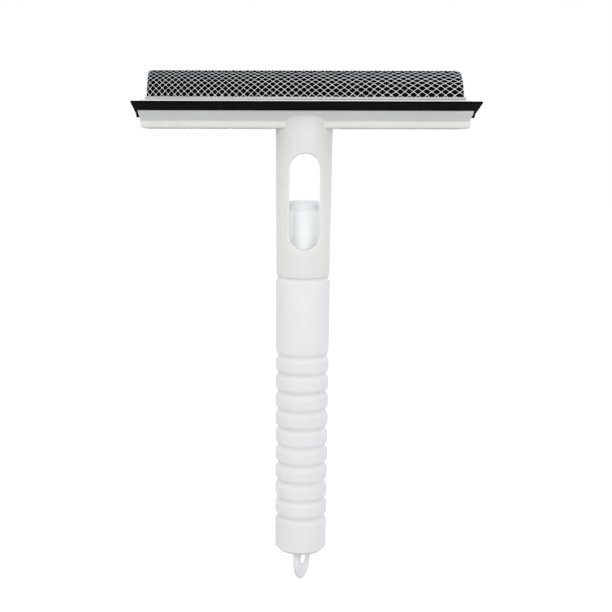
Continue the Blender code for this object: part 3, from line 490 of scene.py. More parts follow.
def new_group(name, inputs, outputs):
    """A shader node group with (name, kind, value) inputs and (name, kind) outputs."""
    tree = bpy.data.node_groups.new(name, "ShaderNodeTree")
    for label, kind, value in inputs:
        socket = tree.interface.new_socket(label, in_out="INPUT", socket_type=kind)
        socket.default_value = value
    for label, kind in outputs:
        tree.interface.new_socket(label, in_out="OUTPUT", socket_type=kind)
    return tree, tree.nodes.new("NodeGroupInput").outputs, tree.nodes.new("NodeGroupOutput").inputs


def make_moulded_skin():
    """Skin of a moulding: faint cloudy shade, a fine grain, gloss that varies a little, soft edges."""
    tree, given, out = new_group("moulded_skin", [
        ("Colour", "NodeSocketColor", (0.8, 0.8, 0.8, 1)),
        ("Shade", "NodeSocketColor", (0.7, 0.7, 0.7, 1)),
        ("Roughness", "NodeSocketFloat", 0.4),
        ("Spread", "NodeSocketFloat", 0.08),
        ("Grain", "NodeSocketFloat", 1500.0),
        ("Height", "NodeSocketFloat", 0.1),
        ("Edge", "NodeSocketFloat", 0.0),
    ], [("Colour", "NodeSocketColor"), ("Roughness", "NodeSocketFloat"), ("Normal", "NodeSocketVector")])
    place = add_node(tree, "ShaderNodeTexCoord").outputs["Object"]
    cloud = add_node(tree, "ShaderNodeTexNoise", {"Vector": place, "Scale": 45.0, "Detail": 3.0})
    grain = add_node(tree, "ShaderNodeTexNoise", {"Vector": place, "Scale": given["Grain"], "Detail": 2.0})
    tint = ramp(tree, cloud.outputs["Fac"], 0.35, 0.7)
    centred = reckoned(tree, "SUBTRACT", grain.outputs["Fac"], 0.5)
    gloss = reckoned(tree, "MULTIPLY_ADD", centred, given["Spread"], given["Roughness"])
    eased = add_node(tree, "ShaderNodeBevel", {"Radius": given["Edge"]}, samples=8)
    bump = add_node(tree, "ShaderNodeBump", {"Height": grain.outputs["Fac"], "Strength": given["Height"],
                                             "Distance": 0.0001, "Normal": eased.outputs[0]})
    tree.links.new(mixed_colour(tree, tint, given["Colour"], given["Shade"]), out["Colour"])
    tree.links.new(gloss, out["Roughness"])
    tree.links.new(bump.outputs[0], out["Normal"])
    return tree


moulded_skin = make_moulded_skin()


def new_material(name):
    """A material, its node tree and its shader."""
    material = bpy.data.materials.new(name)
    material.use_nodes = True
    return material, material.node_tree, material.node_tree.nodes["Principled BSDF"]


def moulded(name, colour, shade, roughness, spread=0.08, grain=1500.0, height=0.1, **sockets):
    """A moulded finish; sockets sets further sockets of its shader, with _ for a space."""
    material, tree, shader = new_material(name)
    skin = add_node(tree, "ShaderNodeGroup", {
        "Colour": (*colour, 1),
        "Shade": (*shade, 1),
        "Roughness": roughness,
        "Spread": spread,
        "Grain": grain,
        "Height": height,
    }, node_tree=moulded_skin, name="skin")
    tree.links.new(skin.outputs["Colour"], shader.inputs["Base Color"])
    tree.links.new(skin.outputs["Roughness"], shader.inputs["Roughness"])
    tree.links.new(skin.outputs["Normal"], shader.inputs["Normal"])
    for key, value in sockets.items():
        shader.inputs[key.replace("_", " ")].default_value = value
    return material


def dress(piece, material):
    """Give a piece its one material."""
    piece.data.materials.clear()
    piece.data.materials.append(material)
    return piece


def even_out(material, share):
    """Let a groove about the handle axis shade less than its depth tells, as light soaks through."""
    tree = material.node_tree
    place = add_node(tree, "ShaderNodeNewGeometry").outputs["Position"]
    flat = add_node(tree, "ShaderNodeVectorMath", {0: place, 1: (1, 1, 0)}, operation="MULTIPLY")
    radial = add_node(tree, "ShaderNodeVectorMath", {0: flat.outputs[0]}, operation="NORMALIZE")
    carved = tree.nodes["skin"].outputs["Normal"]
    mixed = add_node(tree, "ShaderNodeMix", {0: share, 4: carved, 5: radial.outputs[0]}, data_type="VECTOR")
    normal = add_node(tree, "ShaderNodeVectorMath", {0: mixed.outputs[1]}, operation="NORMALIZE")
    tree.links.new(normal.outputs[0], tree.nodes["Principled BSDF"].inputs["Normal"])


def height_of(material):
    """The height above the floor, as a value in the material."""
    tree = material.node_tree
    place = add_node(tree, "ShaderNodeTexCoord").outputs["Object"]
    return tree, add_node(tree, "ShaderNodeSeparateXYZ", {0: place}).outputs["Z"]


def soften_edges(material):
    """Melt the sleeve into the bar, and keep the lips of the channel and the sleeve's mouth crisp."""
    tree, height = height_of(material)
    lips = bar_z + BEAD_HEIGHT + FACE_RISE
    edge = ramp(tree, height, lips - LIP_EASE_LOW, lips - LIP_EASE_HIGH, EDGE_EASE, LIP_EASE)
    edge = reckoned(tree, "MULTIPLY", edge, ramp(tree, height, mouth_z + CRISP_LOW, mouth_z + CRISP_HIGH))
    tree.links.new(edge, tree.nodes["skin"].inputs["Edge"])
    taper = ramp(tree, height, mouth_z + TAPER_EVEN_LOW, mouth_z + TAPER_EVEN_HIGH, TAPER_EVEN, 0.0)
    even_out(material, taper)


white_abs = moulded("white_abs", (0.835, 0.83, 0.805), (0.80, 0.795, 0.77), 0.36, Specular_IOR_Level=0.4,
                    Subsurface_Weight=0.6, Subsurface_Radius=(1, 1, 1), Subsurface_Scale=0.002)
soften_edges(white_abs)
head = dress(make_head(), white_abs)
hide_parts("head_frame")
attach(head, "head")


# Rubber blade
# A black rubber extrusion with a round bulb along its root, slid endways into the channel of the
# bar. It thins towards the lip, and its ends are cut at a slant, so the lip is the longer side.
BLADE_FREE = 0.01185            # mouth of the channel to the lip
BLADE_TIP_THICKNESS = 0.0012
BLADE_TIP_ROUND = 0.0002
BLADE_OVERHANG = 0.0041         # of the lip, beyond each end of the bar
BLADE_LEFT_SLANT = 0.0008       # by which the left end is shorter at the mouth of the channel
BLADE_RIGHT_SLANT = 0.0005      # and the right end


def make_blade():
    """The bulb, the web in the channel and the tapering lip, in one extrusion with slanted ends."""
    tip = BULB_DEPTH + BLADE_FREE
    half = BLADE_THICKNESS / 2
    tip_half = BLADE_TIP_THICKNESS / 2
    corners = [(y, z, 0) for y, z in keyhole(0, 20)]
    corners += [
        (*blade_point(BULB_DEPTH, -half), 0),
        (*blade_point(tip, -tip_half), BLADE_TIP_ROUND),
        (*blade_point(tip, tip_half), BLADE_TIP_ROUND),
        (*blade_point(BULB_DEPTH, half), 0),
    ]
    lip_half = BAR_LENGTH / 2 + BLADE_OVERHANG
    blade = long_bar("squeegee_blade", rounded(corners, 4), -lip_half, lip_half, BLADE_TIP_ROUND, 2)
    root_y = blade_point(BULB_DEPTH, 0)[0]
    tip_y = blade_point(tip, 0)[0]
    for vertex in blade.data.vertices:
        share = (root_y - vertex.co.y) / (root_y - tip_y)
        slant = -BLADE_RIGHT_SLANT if vertex.co.x > 0 else BLADE_LEFT_SLANT
        vertex.co.x += (1 - share) * slant
    return smooth(blade, 40)


black_rubber = moulded("black_rubber", (0.0042, 0.0042, 0.0047), (0.003, 0.003, 0.0034), 0.6, grain=2600.0,
                       height=0.12, Specular_IOR_Level=0.01)
blade = dress(make_blade(), black_rubber)
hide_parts("blade_rubber")
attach(blade, "head")


# Sponge plate
# The white backing plate that the sponge is glued to, coloured grey: partly a greyer plastic, partly
# painted shade of its front edge under the roll. Its clips pass through slots in the tray.
# The CAD solid has its shape and stays.
plate_plastic_and_painted_shade = moulded("grey_white_abs", (0.57, 0.585, 0.59), (0.53, 0.545, 0.55), 0.4,
                        Specular_IOR_Level=0.3)
dress(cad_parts["sponge_plate"], plate_plastic_and_painted_shade)


# Sponge
# A half-round roll of black open-cell foam. The net over it presses lines into the foam, which
# swells a little in each mesh, and its ends lean inwards towards the crown.
PLATE_THICKNESS = 0.0015
SPONGE_SIDE = 0.0066            # straight sides below the round top
SPONGE_RADIUS = 0.0176
SPONGE_LEAN = 0.0003            # how much shorter each end is at the crown
FOAM_SWELL = 0.0011             # of the foam in the middle of a mesh
FOAM_SINK = 0.25                # share of the swell by which it is pressed in under the yarn
FOAM_FULLNESS = 0.6             # below 1 the foam fills a mesh well before its middle
FOAM_LUMP = 0.00012             # uneven surface of the roll
FOAM_END_LUMP = 0.0003          # and of its cut ends
FOAM_END_ROUND = 0.0007         # by which it draws in at its ends
FOAM_END_FACES = 4              # over which it does so
FOAM_FACES = 8                  # across one mesh
NET_COLUMNS = 41
NET_ROWS = 17
NET_PITCH_LEFT = 0.0037         # the meshes are drawn wider towards the right
NET_PITCH_RIGHT = 0.0057
NET_SLIP = 0.55                 # rows by which the meshes drift against the lower edge
NET_WAVE = 0.12                 # rows by which they wave along the bar
NET_WAVE_TURN = 0.41            # radians of that wave in one column
NET_START = 0.25                # rows by which they begin below the edge
NET_DRAW_LEFT = 0.03            # how much taller the rows are along the plate than in the middle
NET_DRAW_RIGHT = 0.18

sponge_low, sponge_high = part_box("sponge")
sponge_half = sponge_high.x


def roll_point(share, radius, above):
    """(y, z) and outward direction on the roll, from the front of the plate over to its back."""
    middle = TRAY_DEPTH / 2
    low = PLATE_THICKNESS + 2 * FIT_GAP + above
    crown = PLATE_THICKNESS + 2 * FIT_GAP + SPONGE_SIDE
    side = crown - low
    total = 2 * side + math.pi * radius
    walk = share * total
    if walk < side:
        along, up, out_along, out_up = middle - radius, low + walk, -1, 0
    elif walk > total - side:
        along, up, out_along, out_up = middle + radius, low + total - walk, 1, 0
    else:
        angle = (walk - side) / radius
        out_along, out_up = -math.cos(angle), math.sin(angle)
        along, up = middle + radius * out_along, crown + radius * out_up
    y, z = tray_point(along, up)
    out_y = out_along * math.cos(TRAY_PITCH) + out_up * math.sin(TRAY_PITCH)
    out_z = -out_along * math.sin(TRAY_PITCH) + out_up * math.cos(TRAY_PITCH)
    return y, z, out_y, out_z


def mesh_x(column, share):
    """Place along the bar of a column of the net, drawn in at the crown towards the ends."""
    mean = (NET_PITCH_LEFT + NET_PITCH_RIGHT) / 2
    walk = column * NET_PITCH_LEFT + (NET_PITCH_RIGHT - NET_PITCH_LEFT) * column ** 2 / (2 * NET_COLUMNS)
    across = 2 * walk / (mean * NET_COLUMNS) - 1
    lean = SPONGE_LEAN * math.sin(math.pi * min(max(share, 0), 1)) * across
    return across * sponge_half - lean


def slip(column):
    """Rows that the net has slipped at a column."""
    return NET_SLIP * column / NET_COLUMNS + NET_WAVE * math.sin(column * NET_WAVE_TURN) - NET_START


def drawn(share, column):
    """Where a row lies on the roll, as the net is drawn towards the plate."""
    draw = NET_DRAW_LEFT + (NET_DRAW_RIGHT - NET_DRAW_LEFT) * column / NET_COLUMNS
    return share + draw * math.sin(6 * math.pi * share) / (6 * math.pi)


def make_sponge():
    """The roll, whose surface swells in the meshes of the net, with a flat cut end on each side."""
    work = bmesh.new()
    columns = NET_COLUMNS * FOAM_FACES
    rows = NET_ROWS * FOAM_FACES
    rings = []
    for i in range(columns + 1):
        column = NET_COLUMNS * i / columns
        end = min(i, columns - i)
        draw_in = FOAM_END_ROUND * max(0, 1 - end / FOAM_END_FACES) ** 2
        ring = []
        for j in range(rows + 1):
            share = j / rows
            row = share * NET_ROWS - slip(column)
            pattern = abs(math.sin(math.pi * (column + row)) * math.sin(math.pi * (column - row)))
            swell = FOAM_SWELL * (pattern ** FOAM_FULLNESS - FOAM_SINK) - draw_in
            place = drawn(share, column)
            x = mesh_x(column, place)
            y, z, out_y, out_z = roll_point(place, SPONGE_RADIUS, 0)
            swell += FOAM_LUMP * noise.noise(Vector((x, y, z)) * 900)
            ring.append(work.verts.new((x, y + out_y * swell, z + out_z * swell)))
        rings.append(ring)
    bridge(work, rings)
    for ring in (rings[0], rings[-1]):
        middle = sum((vertex.co for vertex in ring), Vector()) / len(ring)
        nested = [ring]
        for size in (0.75, 0.5, 0.25):
            inner = []
            for vertex in ring:
                place = middle + (vertex.co - middle) * size
                place.x += FOAM_END_LUMP * noise.noise(place * 700)
                inner.append(work.verts.new(place))
            nested.append(inner)
        bridge(work, nested)
        work.faces.new(nested[-1])
    return smooth(new_piece("foam_roll", work), 60)


def make_foam():
    """Black open-cell foam: pores painted darker as shade in their hollows, between paler walls of cells."""
    material, tree, shader = new_material("black_foam")
    place = add_node(tree, "ShaderNodeTexCoord").outputs["Object"]
    cells = add_node(tree, "ShaderNodeTexVoronoi", {"Vector": place, "Scale": 1400.0})
    clumps = add_node(tree, "ShaderNodeTexNoise", {"Vector": place, "Scale": 260.0, "Detail": 4.0})
    depth = reckoned(tree, "MULTIPLY", cells.outputs["Distance"], clumps.outputs["Fac"])
    # Painted shade: the colour is darker where the bump sinks the pores.
    wall = ramp(tree, depth, 0.05, 0.4)
    colour = mixed_colour(tree, wall, (0.001, 0.001, 0.001, 1), (0.006, 0.006, 0.007, 1))
    bump = add_node(tree, "ShaderNodeBump", {"Height": depth, "Strength": 0.8, "Distance": 0.0004})
    tree.links.new(colour, shader.inputs["Base Color"])
    tree.links.new(bump.outputs[0], shader.inputs["Normal"])
    shader.inputs["Roughness"].default_value = 0.95
    shader.inputs["Specular IOR Level"].default_value = 0.0
    return material


foam = dress(make_sponge(), make_foam())
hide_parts("sponge")
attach(foam, "head")


# Net
# A knotted net of white twisted yarn with diamond meshes, stretched over the foam and glued along
# the plate, with a thin selvedge at its edges. It lets the roll scrub as well as wet the glass.
NET_GAP = 0.0001                # between the yarn and the roll
NET_SWAY = 0.09                 # meshes by which a knot lies off its place
NET_SEED = 1                    # of that sway
YARN_RADIUS = 0.00013
YARN_PLY = 0.16                 # share of that radius by which its two plies bulge
YARN_FLATNESS = 0.4             # the stretched yarn lies flat on the foam
YARN_SLACK = 0.18               # it is fuller towards the right, where the meshes are wider
KNOT_RADIUS = 0.00014           # added to the yarn at a knot
KNOT_REACH = 0.16               # in meshes
HEM_RADIUS = 0.00016
YARN_SIDES = 8
YARN_STEPS = 8                  # rings of yarn in one mesh
YARN_TWIST = 9.0                # radians by which the two plies turn in one mesh
HEM_STEPS = 4                   # rings of yarn in one mesh of the two long edges
HEM_TWIST = 0.9                 # radians from one ring to the next
RIM_STEPS = 6                   # the same for the two short edges
RIM_TWIST = 0.8


def net_point(column, row, lift):
    """A point of the net, and the direction out of the roll there."""
    sway = noise.noise_vector(Vector((column * 0.7, row * 0.7, 3.0))) * NET_SWAY
    share = (row + slip(column) + sway.y) / NET_ROWS
    inside = drawn(min(max(share, 0), 1), column)
    radius = SPONGE_RADIUS + NET_GAP + YARN_RADIUS + lift
    y, z, out_y, out_z = roll_point(inside, radius, YARN_RADIUS)
    bounded = min(max(column + sway.x, 0), NET_COLUMNS)
    return share, Vector((mesh_x(bounded, inside), y, z)), Vector((0, out_y, out_z))


def add_yarn(work, places, sides):
    """A twisted yarn through (point, outward, radius, twist) places."""
    rings = []
    for index, (point, outward, radius, twist) in enumerate(places):
        ahead = places[min(index + 1, len(places) - 1)][0] - places[max(index - 1, 0)][0]
        across = ahead.cross(outward).normalized()
        ring = []
        for side in range(sides):
            angle = 2 * math.pi * side / sides
            reach = radius * (1 + YARN_PLY * math.cos(2 * (angle - twist)))
            turned_out = math.cos(angle) * across + YARN_FLATNESS * math.sin(angle) * outward
            ring.append(work.verts.new(point + reach * turned_out))
        rings.append(ring)
    bridge(work, rings)
    work.faces.new(rings[0])
    work.faces.new(rings[-1])


def make_net():
    """Two families of slanting yarns that cross at the knots, and a yarn along each edge."""
    noise.seed_set(NET_SEED)
    work = bmesh.new()
    spare = 1   # row beyond each edge, where a yarn may still slip onto the roll
    for direction in (-1, 1):
        for number in range(-NET_ROWS - 2, NET_COLUMNS + NET_ROWS + 3):
            places = []
            for step in range((NET_ROWS + 2 * spare) * YARN_STEPS + 1):
                row = -spare + step / YARN_STEPS
                column = number + direction * row
                if not 0 <= column <= NET_COLUMNS:
                    continue
                near = abs(2 * row - round(2 * row)) / 2
                knot = math.exp(-(near / KNOT_REACH) ** 2)
                over = direction * (-1) ** (round(2 * row) + number) * 0.5
                share, point, outward = net_point(column, row, over * KNOT_RADIUS * knot)
                if not 0 <= share <= 1:
                    continue
                slack = 1 + YARN_SLACK * (2 * column / NET_COLUMNS - 1)
                places.append((point, outward, slack * (YARN_RADIUS + KNOT_RADIUS * knot), YARN_TWIST * row))
            if len(places) > 2:
                add_yarn(work, places, YARN_SIDES)
    for share in (0, 1):
        y, z, out_y, out_z = roll_point(share, SPONGE_RADIUS + NET_GAP + YARN_RADIUS, HEM_RADIUS)
        hem = []
        for step in range(NET_COLUMNS * HEM_STEPS + 1):
            point = Vector((mesh_x(step / HEM_STEPS, share), y, z))
            hem.append((point, Vector((0, out_y, out_z)), HEM_RADIUS, step * HEM_TWIST))
        add_yarn(work, hem, YARN_SIDES)
    for column in (0, NET_COLUMNS):
        rim = []
        for step in range(NET_ROWS * RIM_STEPS + 1):
            share = step / (NET_ROWS * RIM_STEPS)
            y, z, out_y, out_z = roll_point(share, SPONGE_RADIUS + NET_GAP + YARN_RADIUS, YARN_RADIUS)
            point = Vector((mesh_x(column, share), y, z))
            rim.append((point, Vector((0, out_y, out_z)), YARN_RADIUS, step * RIM_TWIST))
        add_yarn(work, rim, YARN_SIDES)
    net = new_piece("diamond_net", work)
    net.data.shade_smooth()
    return net


def make_yarn():
    """White synthetic yarn: fine fibres, a soft sheen, greyer where it has taken up some dust."""
    material, tree, shader = new_material("white_net")
    place = add_node(tree, "ShaderNodeTexCoord").outputs["Object"]
    fibres = add_node(tree, "ShaderNodeTexNoise", {"Vector": place, "Scale": 3200.0, "Detail": 2.0})
    dust = add_node(tree, "ShaderNodeTexNoise", {"Vector": place, "Scale": 110.0, "Detail": 3.0})
    level = ramp(tree, dust.outputs["Fac"], 0.3, 0.75)
    colour = mixed_colour(tree, level, (0.80, 0.82, 0.83, 1), (0.68, 0.70, 0.72, 1))
    bump = add_node(tree, "ShaderNodeBump", {"Height": fibres.outputs["Fac"], "Strength": 0.5,
                                             "Distance": 0.0001})
    tree.links.new(colour, shader.inputs["Base Color"])
    tree.links.new(bump.outputs[0], shader.inputs["Normal"])
    shader.inputs["Roughness"].default_value = 0.7
    shader.inputs["Sheen Weight"].default_value = 0.15
    return material


net = dress(make_net(), make_yarn())
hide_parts("sponge_net")
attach(net, "head")


# Grip bottle
# A blow-moulded white bottle that is both tank and handle: ten soft grooves for the fingers, a
# threaded spigot that screws into the sleeve, a neck for the pump, and the hanging loop moulded
# under its base.
GRIP_LENGTH = 0.1766            # base to shoulder
GRIP_TOP_RADIUS = 0.0172
GRIP_BASE_RADIUS = 0.01655
GRIP_WALL = 0.0014
BASE_WALL = 0.0016
BASE_BEVEL_WIDTH = 0.0026
BASE_BEVEL_HEIGHT = 0.0024
BASE_EDGE = 0.0003              # the bevel's two rims are eased by this much
BASE_SAG = 0.0016               # by which the hot bottle sank at its base
FLOOR_ROUND = 0.0022
SHOULDER_ROUND = 0.0010
GROOVE_COUNT = 10
GROOVE_PITCH = 0.01183
GROOVE_DEPTH = 0.00165
GROOVE_WIDTH = 0.0064
FIRST_GROOVE_DROP = 0.0486      # shoulder down to the first groove
SEAT_RING_RADIUS = 0.0159
SEAT_RING_HEIGHT = 0.0016
SEAT_RING_RISE = 0.9 * FIT_GAP  # screwed home, it all but touches the sleeve
SPIGOT_HEIGHT = 0.0068          # threaded part that screws into the sleeve
SPIGOT_WALL = 0.0017
NECK_RADIUS = 0.0080
NECK_WALL = 0.0025
NECK_HEIGHT = 0.0065
LOOP_DROP = 0.0230              # bottle base down to the loop's lowest point
LOOP_WIDTH = 0.0186
LOOP_THICKNESS = 0.0037
LOOP_SQUARENESS = 0.55          # power below 1 that squares its section
LOOP_SHIFT = 0.0014             # it stands off the handle axis
LOOP_TURN = math.radians(60)    # turn of the loop about the handle axis
LOOP_ROUND_HEIGHT = 0.0130      # height of the elliptical lower end
LOOP_HOLE_WIDTH = 0.0104
LOOP_HOLE_SHIFT = 0.0033        # the hole lies off the middle of the loop
LOOP_HOLE_LOW = 0.0076          # lowest point of the hole above the loop's end
LOOP_HOLE_GAP = 0.0030          # hole's top below the bottle base
LOOP_ROOT = 0.0008              # depth of the loop in the bottle's base
LOOP_COUNT = 72                 # sections round the loop
LOOP_SIDES = 20                 # corners of a section
GRIP_SEGMENTS = 128
GRIP_ROWS = 300
GRIP_EVEN = 0.55                # how far light soaking through evens out the shade of the grooves
GRIP_EVEN_LOW = 0.0004          # it starts here above the base
GRIP_EVEN_HIGH = 0.0012         # and is full from here

base_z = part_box("grip_bottle")[0].z + LOOP_DROP
shoulder_z = base_z + GRIP_LENGTH


def grip_radius(z):
    """The grip tapers evenly, and dips at each groove in a soft wave."""
    radius = GRIP_BASE_RADIUS + (z - base_z) / GRIP_LENGTH * (GRIP_TOP_RADIUS - GRIP_BASE_RADIUS)
    first = shoulder_z - FIRST_GROOVE_DROP
    index = min(max(round((first - z) / GROOVE_PITCH), 0), GROOVE_COUNT - 1)
    away = abs(first - index * GROOVE_PITCH - z) / (GROOVE_WIDTH / 2)
    if away < 1:
        radius -= GROOVE_DEPTH * (0.5 + 0.5 * math.cos(math.pi * away))
    return radius


def make_loop():
    """A flat ring with rounded edges, wider on one side of its hole."""
    side = LOOP_WIDTH / 2
    top = base_z + LOOP_ROOT
    outer = arc((0, LOOP_ROUND_HEIGHT), (side, LOOP_ROUND_HEIGHT), 0, -180, 60)
    outer += [(-side, LOOP_ROUND_HEIGHT + (top - LOOP_ROUND_HEIGHT) * step / 12) for step in range(1, 13)]
    outer += [(-side + LOOP_WIDTH * step / 16, top) for step in range(1, 17)]
    outer += [(side, top - (top - LOOP_ROUND_HEIGHT) * step / 12) for step in range(1, 12)]
    half = LOOP_HOLE_WIDTH / 2
    round_low = LOOP_ROUND_HEIGHT - LOOP_HOLE_LOW
    hole_top = base_z - LOOP_HOLE_GAP - half / 2
    inner = arc((LOOP_HOLE_SHIFT, LOOP_ROUND_HEIGHT), (half, round_low), 0, -180, 40)
    inner += arc((LOOP_HOLE_SHIFT, hole_top), (half, half / 2), 180, 0, 24)
    centre = (LOOP_HOLE_SHIFT, (LOOP_ROUND_HEIGHT + hole_top) / 2)
    turns = np.linspace(-math.pi, math.pi, LOOP_COUNT, endpoint=False)
    reaches = []
    for outline in (outer, inner):
        away = np.array(outline) - centre
        angles = np.arctan2(away[:, 1], away[:, 0])
        order = np.argsort(angles)
        reaches.append(np.interp(turns, angles[order], np.hypot(*away[order].T), period=2 * math.pi))
    work = bmesh.new()
    rings = []
    across = Vector((math.cos(LOOP_TURN), math.sin(LOOP_TURN), 0))
    depth = across.cross(Vector((0, 0, 1)))
    for turn, far, near in zip(turns, *reaches):
        ring = []
        for step in range(LOOP_SIDES):
            angle = 2 * math.pi * step / LOOP_SIDES
            out = math.copysign(abs(math.cos(angle)) ** LOOP_SQUARENESS, math.cos(angle))
            thick = math.copysign(abs(math.sin(angle)) ** LOOP_SQUARENESS, math.sin(angle))
            reach = (far + near) / 2 + out * (far - near) / 2
            spot = across * (LOOP_SHIFT + centre[0] + reach * math.cos(turn))
            spot += depth * thick * LOOP_THICKNESS / 2
            spot.z = centre[1] + reach * math.sin(turn)
            ring.append(work.verts.new(spot))
        rings.append(ring)
    bridge(work, [rings[-1]] + rings)
    return new_piece("loop_tool", work)


def make_bottle():
    """The bottle as one profile, up its inner wall and down its outer one, with the loop joined on."""
    inside = GRIP_BASE_RADIUS - GROOVE_DEPTH - GRIP_WALL
    floor_z = base_z + BASE_WALL
    spigot_radius = SLEEVE_BORE_RADIUS - FIT_GAP
    spigot_inside = min(inside, spigot_radius - SPIGOT_WALL)
    seat_z = shoulder_z + SEAT_RING_HEIGHT
    spigot_z = seat_z + SPIGOT_HEIGHT
    neck_z = spigot_z + NECK_HEIGHT
    neck_bore = NECK_RADIUS - NECK_WALL
    profile = [(0, floor_z)]
    profile += arc((inside - FLOOR_ROUND, floor_z + FLOOR_ROUND), (FLOOR_ROUND, FLOOR_ROUND), -90, 0, 6)
    profile += [(inside, shoulder_z - FLOOR_ROUND), (spigot_inside, shoulder_z)]
    profile += [(spigot_inside, spigot_z - 2 * SPIGOT_WALL)]
    profile += [(neck_bore + SPIGOT_WALL, spigot_z - SPIGOT_WALL), (neck_bore, spigot_z)]
    profile += [(neck_bore, neck_z), (NECK_RADIUS, neck_z), (NECK_RADIUS, spigot_z)]
    profile += [(spigot_radius - SPIGOT_WALL / 2, spigot_z), (spigot_radius, spigot_z - SPIGOT_WALL / 2)]
    ring_z = seat_z + SEAT_RING_RISE
    profile += [(spigot_radius, ring_z), (SEAT_RING_RADIUS, ring_z)]
    top_z = shoulder_z - SHOULDER_ROUND
    profile += arc((GRIP_TOP_RADIUS - SHOULDER_ROUND, top_z), (SHOULDER_ROUND, SHOULDER_ROUND), 90, 0, 6)
    low_z = base_z - BASE_SAG + BASE_BEVEL_HEIGHT
    for step in range(1, GRIP_ROWS):
        z = top_z - (top_z - low_z) * step / GRIP_ROWS
        profile.append((grip_radius(z), z))
    slope = BASE_BEVEL_HEIGHT / BASE_BEVEL_WIDTH
    rim = GRIP_BASE_RADIUS - BASE_BEVEL_WIDTH
    profile += [(GRIP_BASE_RADIUS - BASE_EDGE / 4, low_z - BASE_EDGE / 4)]
    profile += [(GRIP_BASE_RADIUS - BASE_EDGE, low_z - BASE_EDGE * slope)]
    profile += [(rim + BASE_EDGE, low_z - BASE_BEVEL_HEIGHT + BASE_EDGE * slope)]
    profile += [(rim - BASE_EDGE, low_z - BASE_BEVEL_HEIGHT), (0, low_z - BASE_BEVEL_HEIGHT)]
    bottle = turned("bottle_handle", profile, GRIP_SEGMENTS)
    shape(bottle, "UNION", [make_loop()])
    return smooth(bottle)


def make_polyethylene():
    """Milky white plastic, whose grooves glow a little from within. The flat base keeps its shade."""
    material = moulded("white_polyethylene", (0.875, 0.87, 0.87), (0.84, 0.835, 0.835), 0.45, grain=1100.0,
                       height=0.12, Specular_IOR_Level=0.35, Subsurface_Weight=0.6,
                       Subsurface_Radius=(1, 1, 1), Subsurface_Scale=0.0025)
    tree, height = height_of(material)
    lowest = base_z - BASE_SAG
    even_out(material, ramp(tree, height, lowest + GRIP_EVEN_LOW, lowest + GRIP_EVEN_HIGH, 0.0, GRIP_EVEN))
    return material


bottle = dress(make_bottle(), make_polyethylene())
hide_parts("grip_bottle")
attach(bottle, "bottle")


# Spray pump
# The finger pump in the bottle's neck: white polypropylene mouldings, soft grey seals, and a steel
# ball and spring. The CAD solids have their shapes and stay, and get these finishes.
white_pump = moulded("white_pump_plastic", (0.90, 0.90, 0.90), (0.87, 0.87, 0.87), 0.42, grain=1800.0)
grey_seal = moulded("grey_seal", (0.45, 0.45, 0.44), (0.40, 0.40, 0.39), 0.6, grain=2200.0, height=0.2)
steel = moulded("stainless_steel", (0.62, 0.61, 0.60), (0.52, 0.51, 0.50), 0.22, spread=0.2, grain=4000.0,
                Metallic=1.0)
tube_plastic = moulded("clear_polypropylene", (0.78, 0.80, 0.80), (0.74, 0.76, 0.76), 0.35, Alpha=0.6)
pump_finishes = {
    "sprayer_collar": white_pump,
    "pump_housing": white_pump,
    "pump_stem": white_pump,
    "housing_ring": white_pump,
    "actuator": white_pump,
    "nozzle_insert": white_pump,
    "neck_gasket": grey_seal,
    "pump_piston": grey_seal,
    "inlet_ball": steel,
    "pump_spring": steel,
    "dip_tube": tube_plastic,
}
for name, material in pump_finishes.items():
    dress(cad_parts[name], material)
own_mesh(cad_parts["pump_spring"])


# Overcap
# A frosted, see-through polypropylene cap pushed over the actuator, which shows through it as a
# paler body. Its thin wall drafts inwards, and its top edge is rounded.
CAP_HEIGHT = 0.0308
CAP_WALL = 0.0011
CAP_ROOF = 0.0014
CAP_DRAFT = 0.0004
CAP_ROUND = 0.0020
CAP_SEGMENTS = 96
CAP_PAINTED_GLOW = 0.27                 # painted glow: emission of the wall round the button, standing in for light scattered there
CAP_TOP_PAINTED_GLOW = 0.10             # and above it
CAP_PAINTED_GLOW_EASE = 0.0005          # half the height over which one passes into the other
CAP_FACING = 0.28               # how dense the wall looks where it is seen square on
CAP_GLANCING = 0.90             # and where it is seen along its surface
CAP_BEHIND = 0.90               # how dense a second wall looks behind the first
CAP_SHADE = 0.06                # how much light it keeps from what is inside

cap_low, cap_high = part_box("overcap")


def make_cap():
    """The cup of the cap as one profile, down its outer wall and up its inner one."""
    low = cap_low.z
    top = low + CAP_HEIGHT
    roof = top - CAP_ROOF
    outer = cap_high.x
    inner = outer - CAP_WALL
    profile = [(0, top)]
    profile += arc((outer - CAP_DRAFT - CAP_ROUND, top - CAP_ROUND), (CAP_ROUND, CAP_ROUND), 90, 0, 8)
    profile += [(outer, low), (inner, low)]
    profile += arc((inner - CAP_DRAFT - CAP_ROUND, roof - CAP_ROUND), (CAP_ROUND, CAP_ROUND), 0, 90, 6)
    profile += [(0, roof)]
    return smooth(turned("frosted_cap", profile, CAP_SEGMENTS))


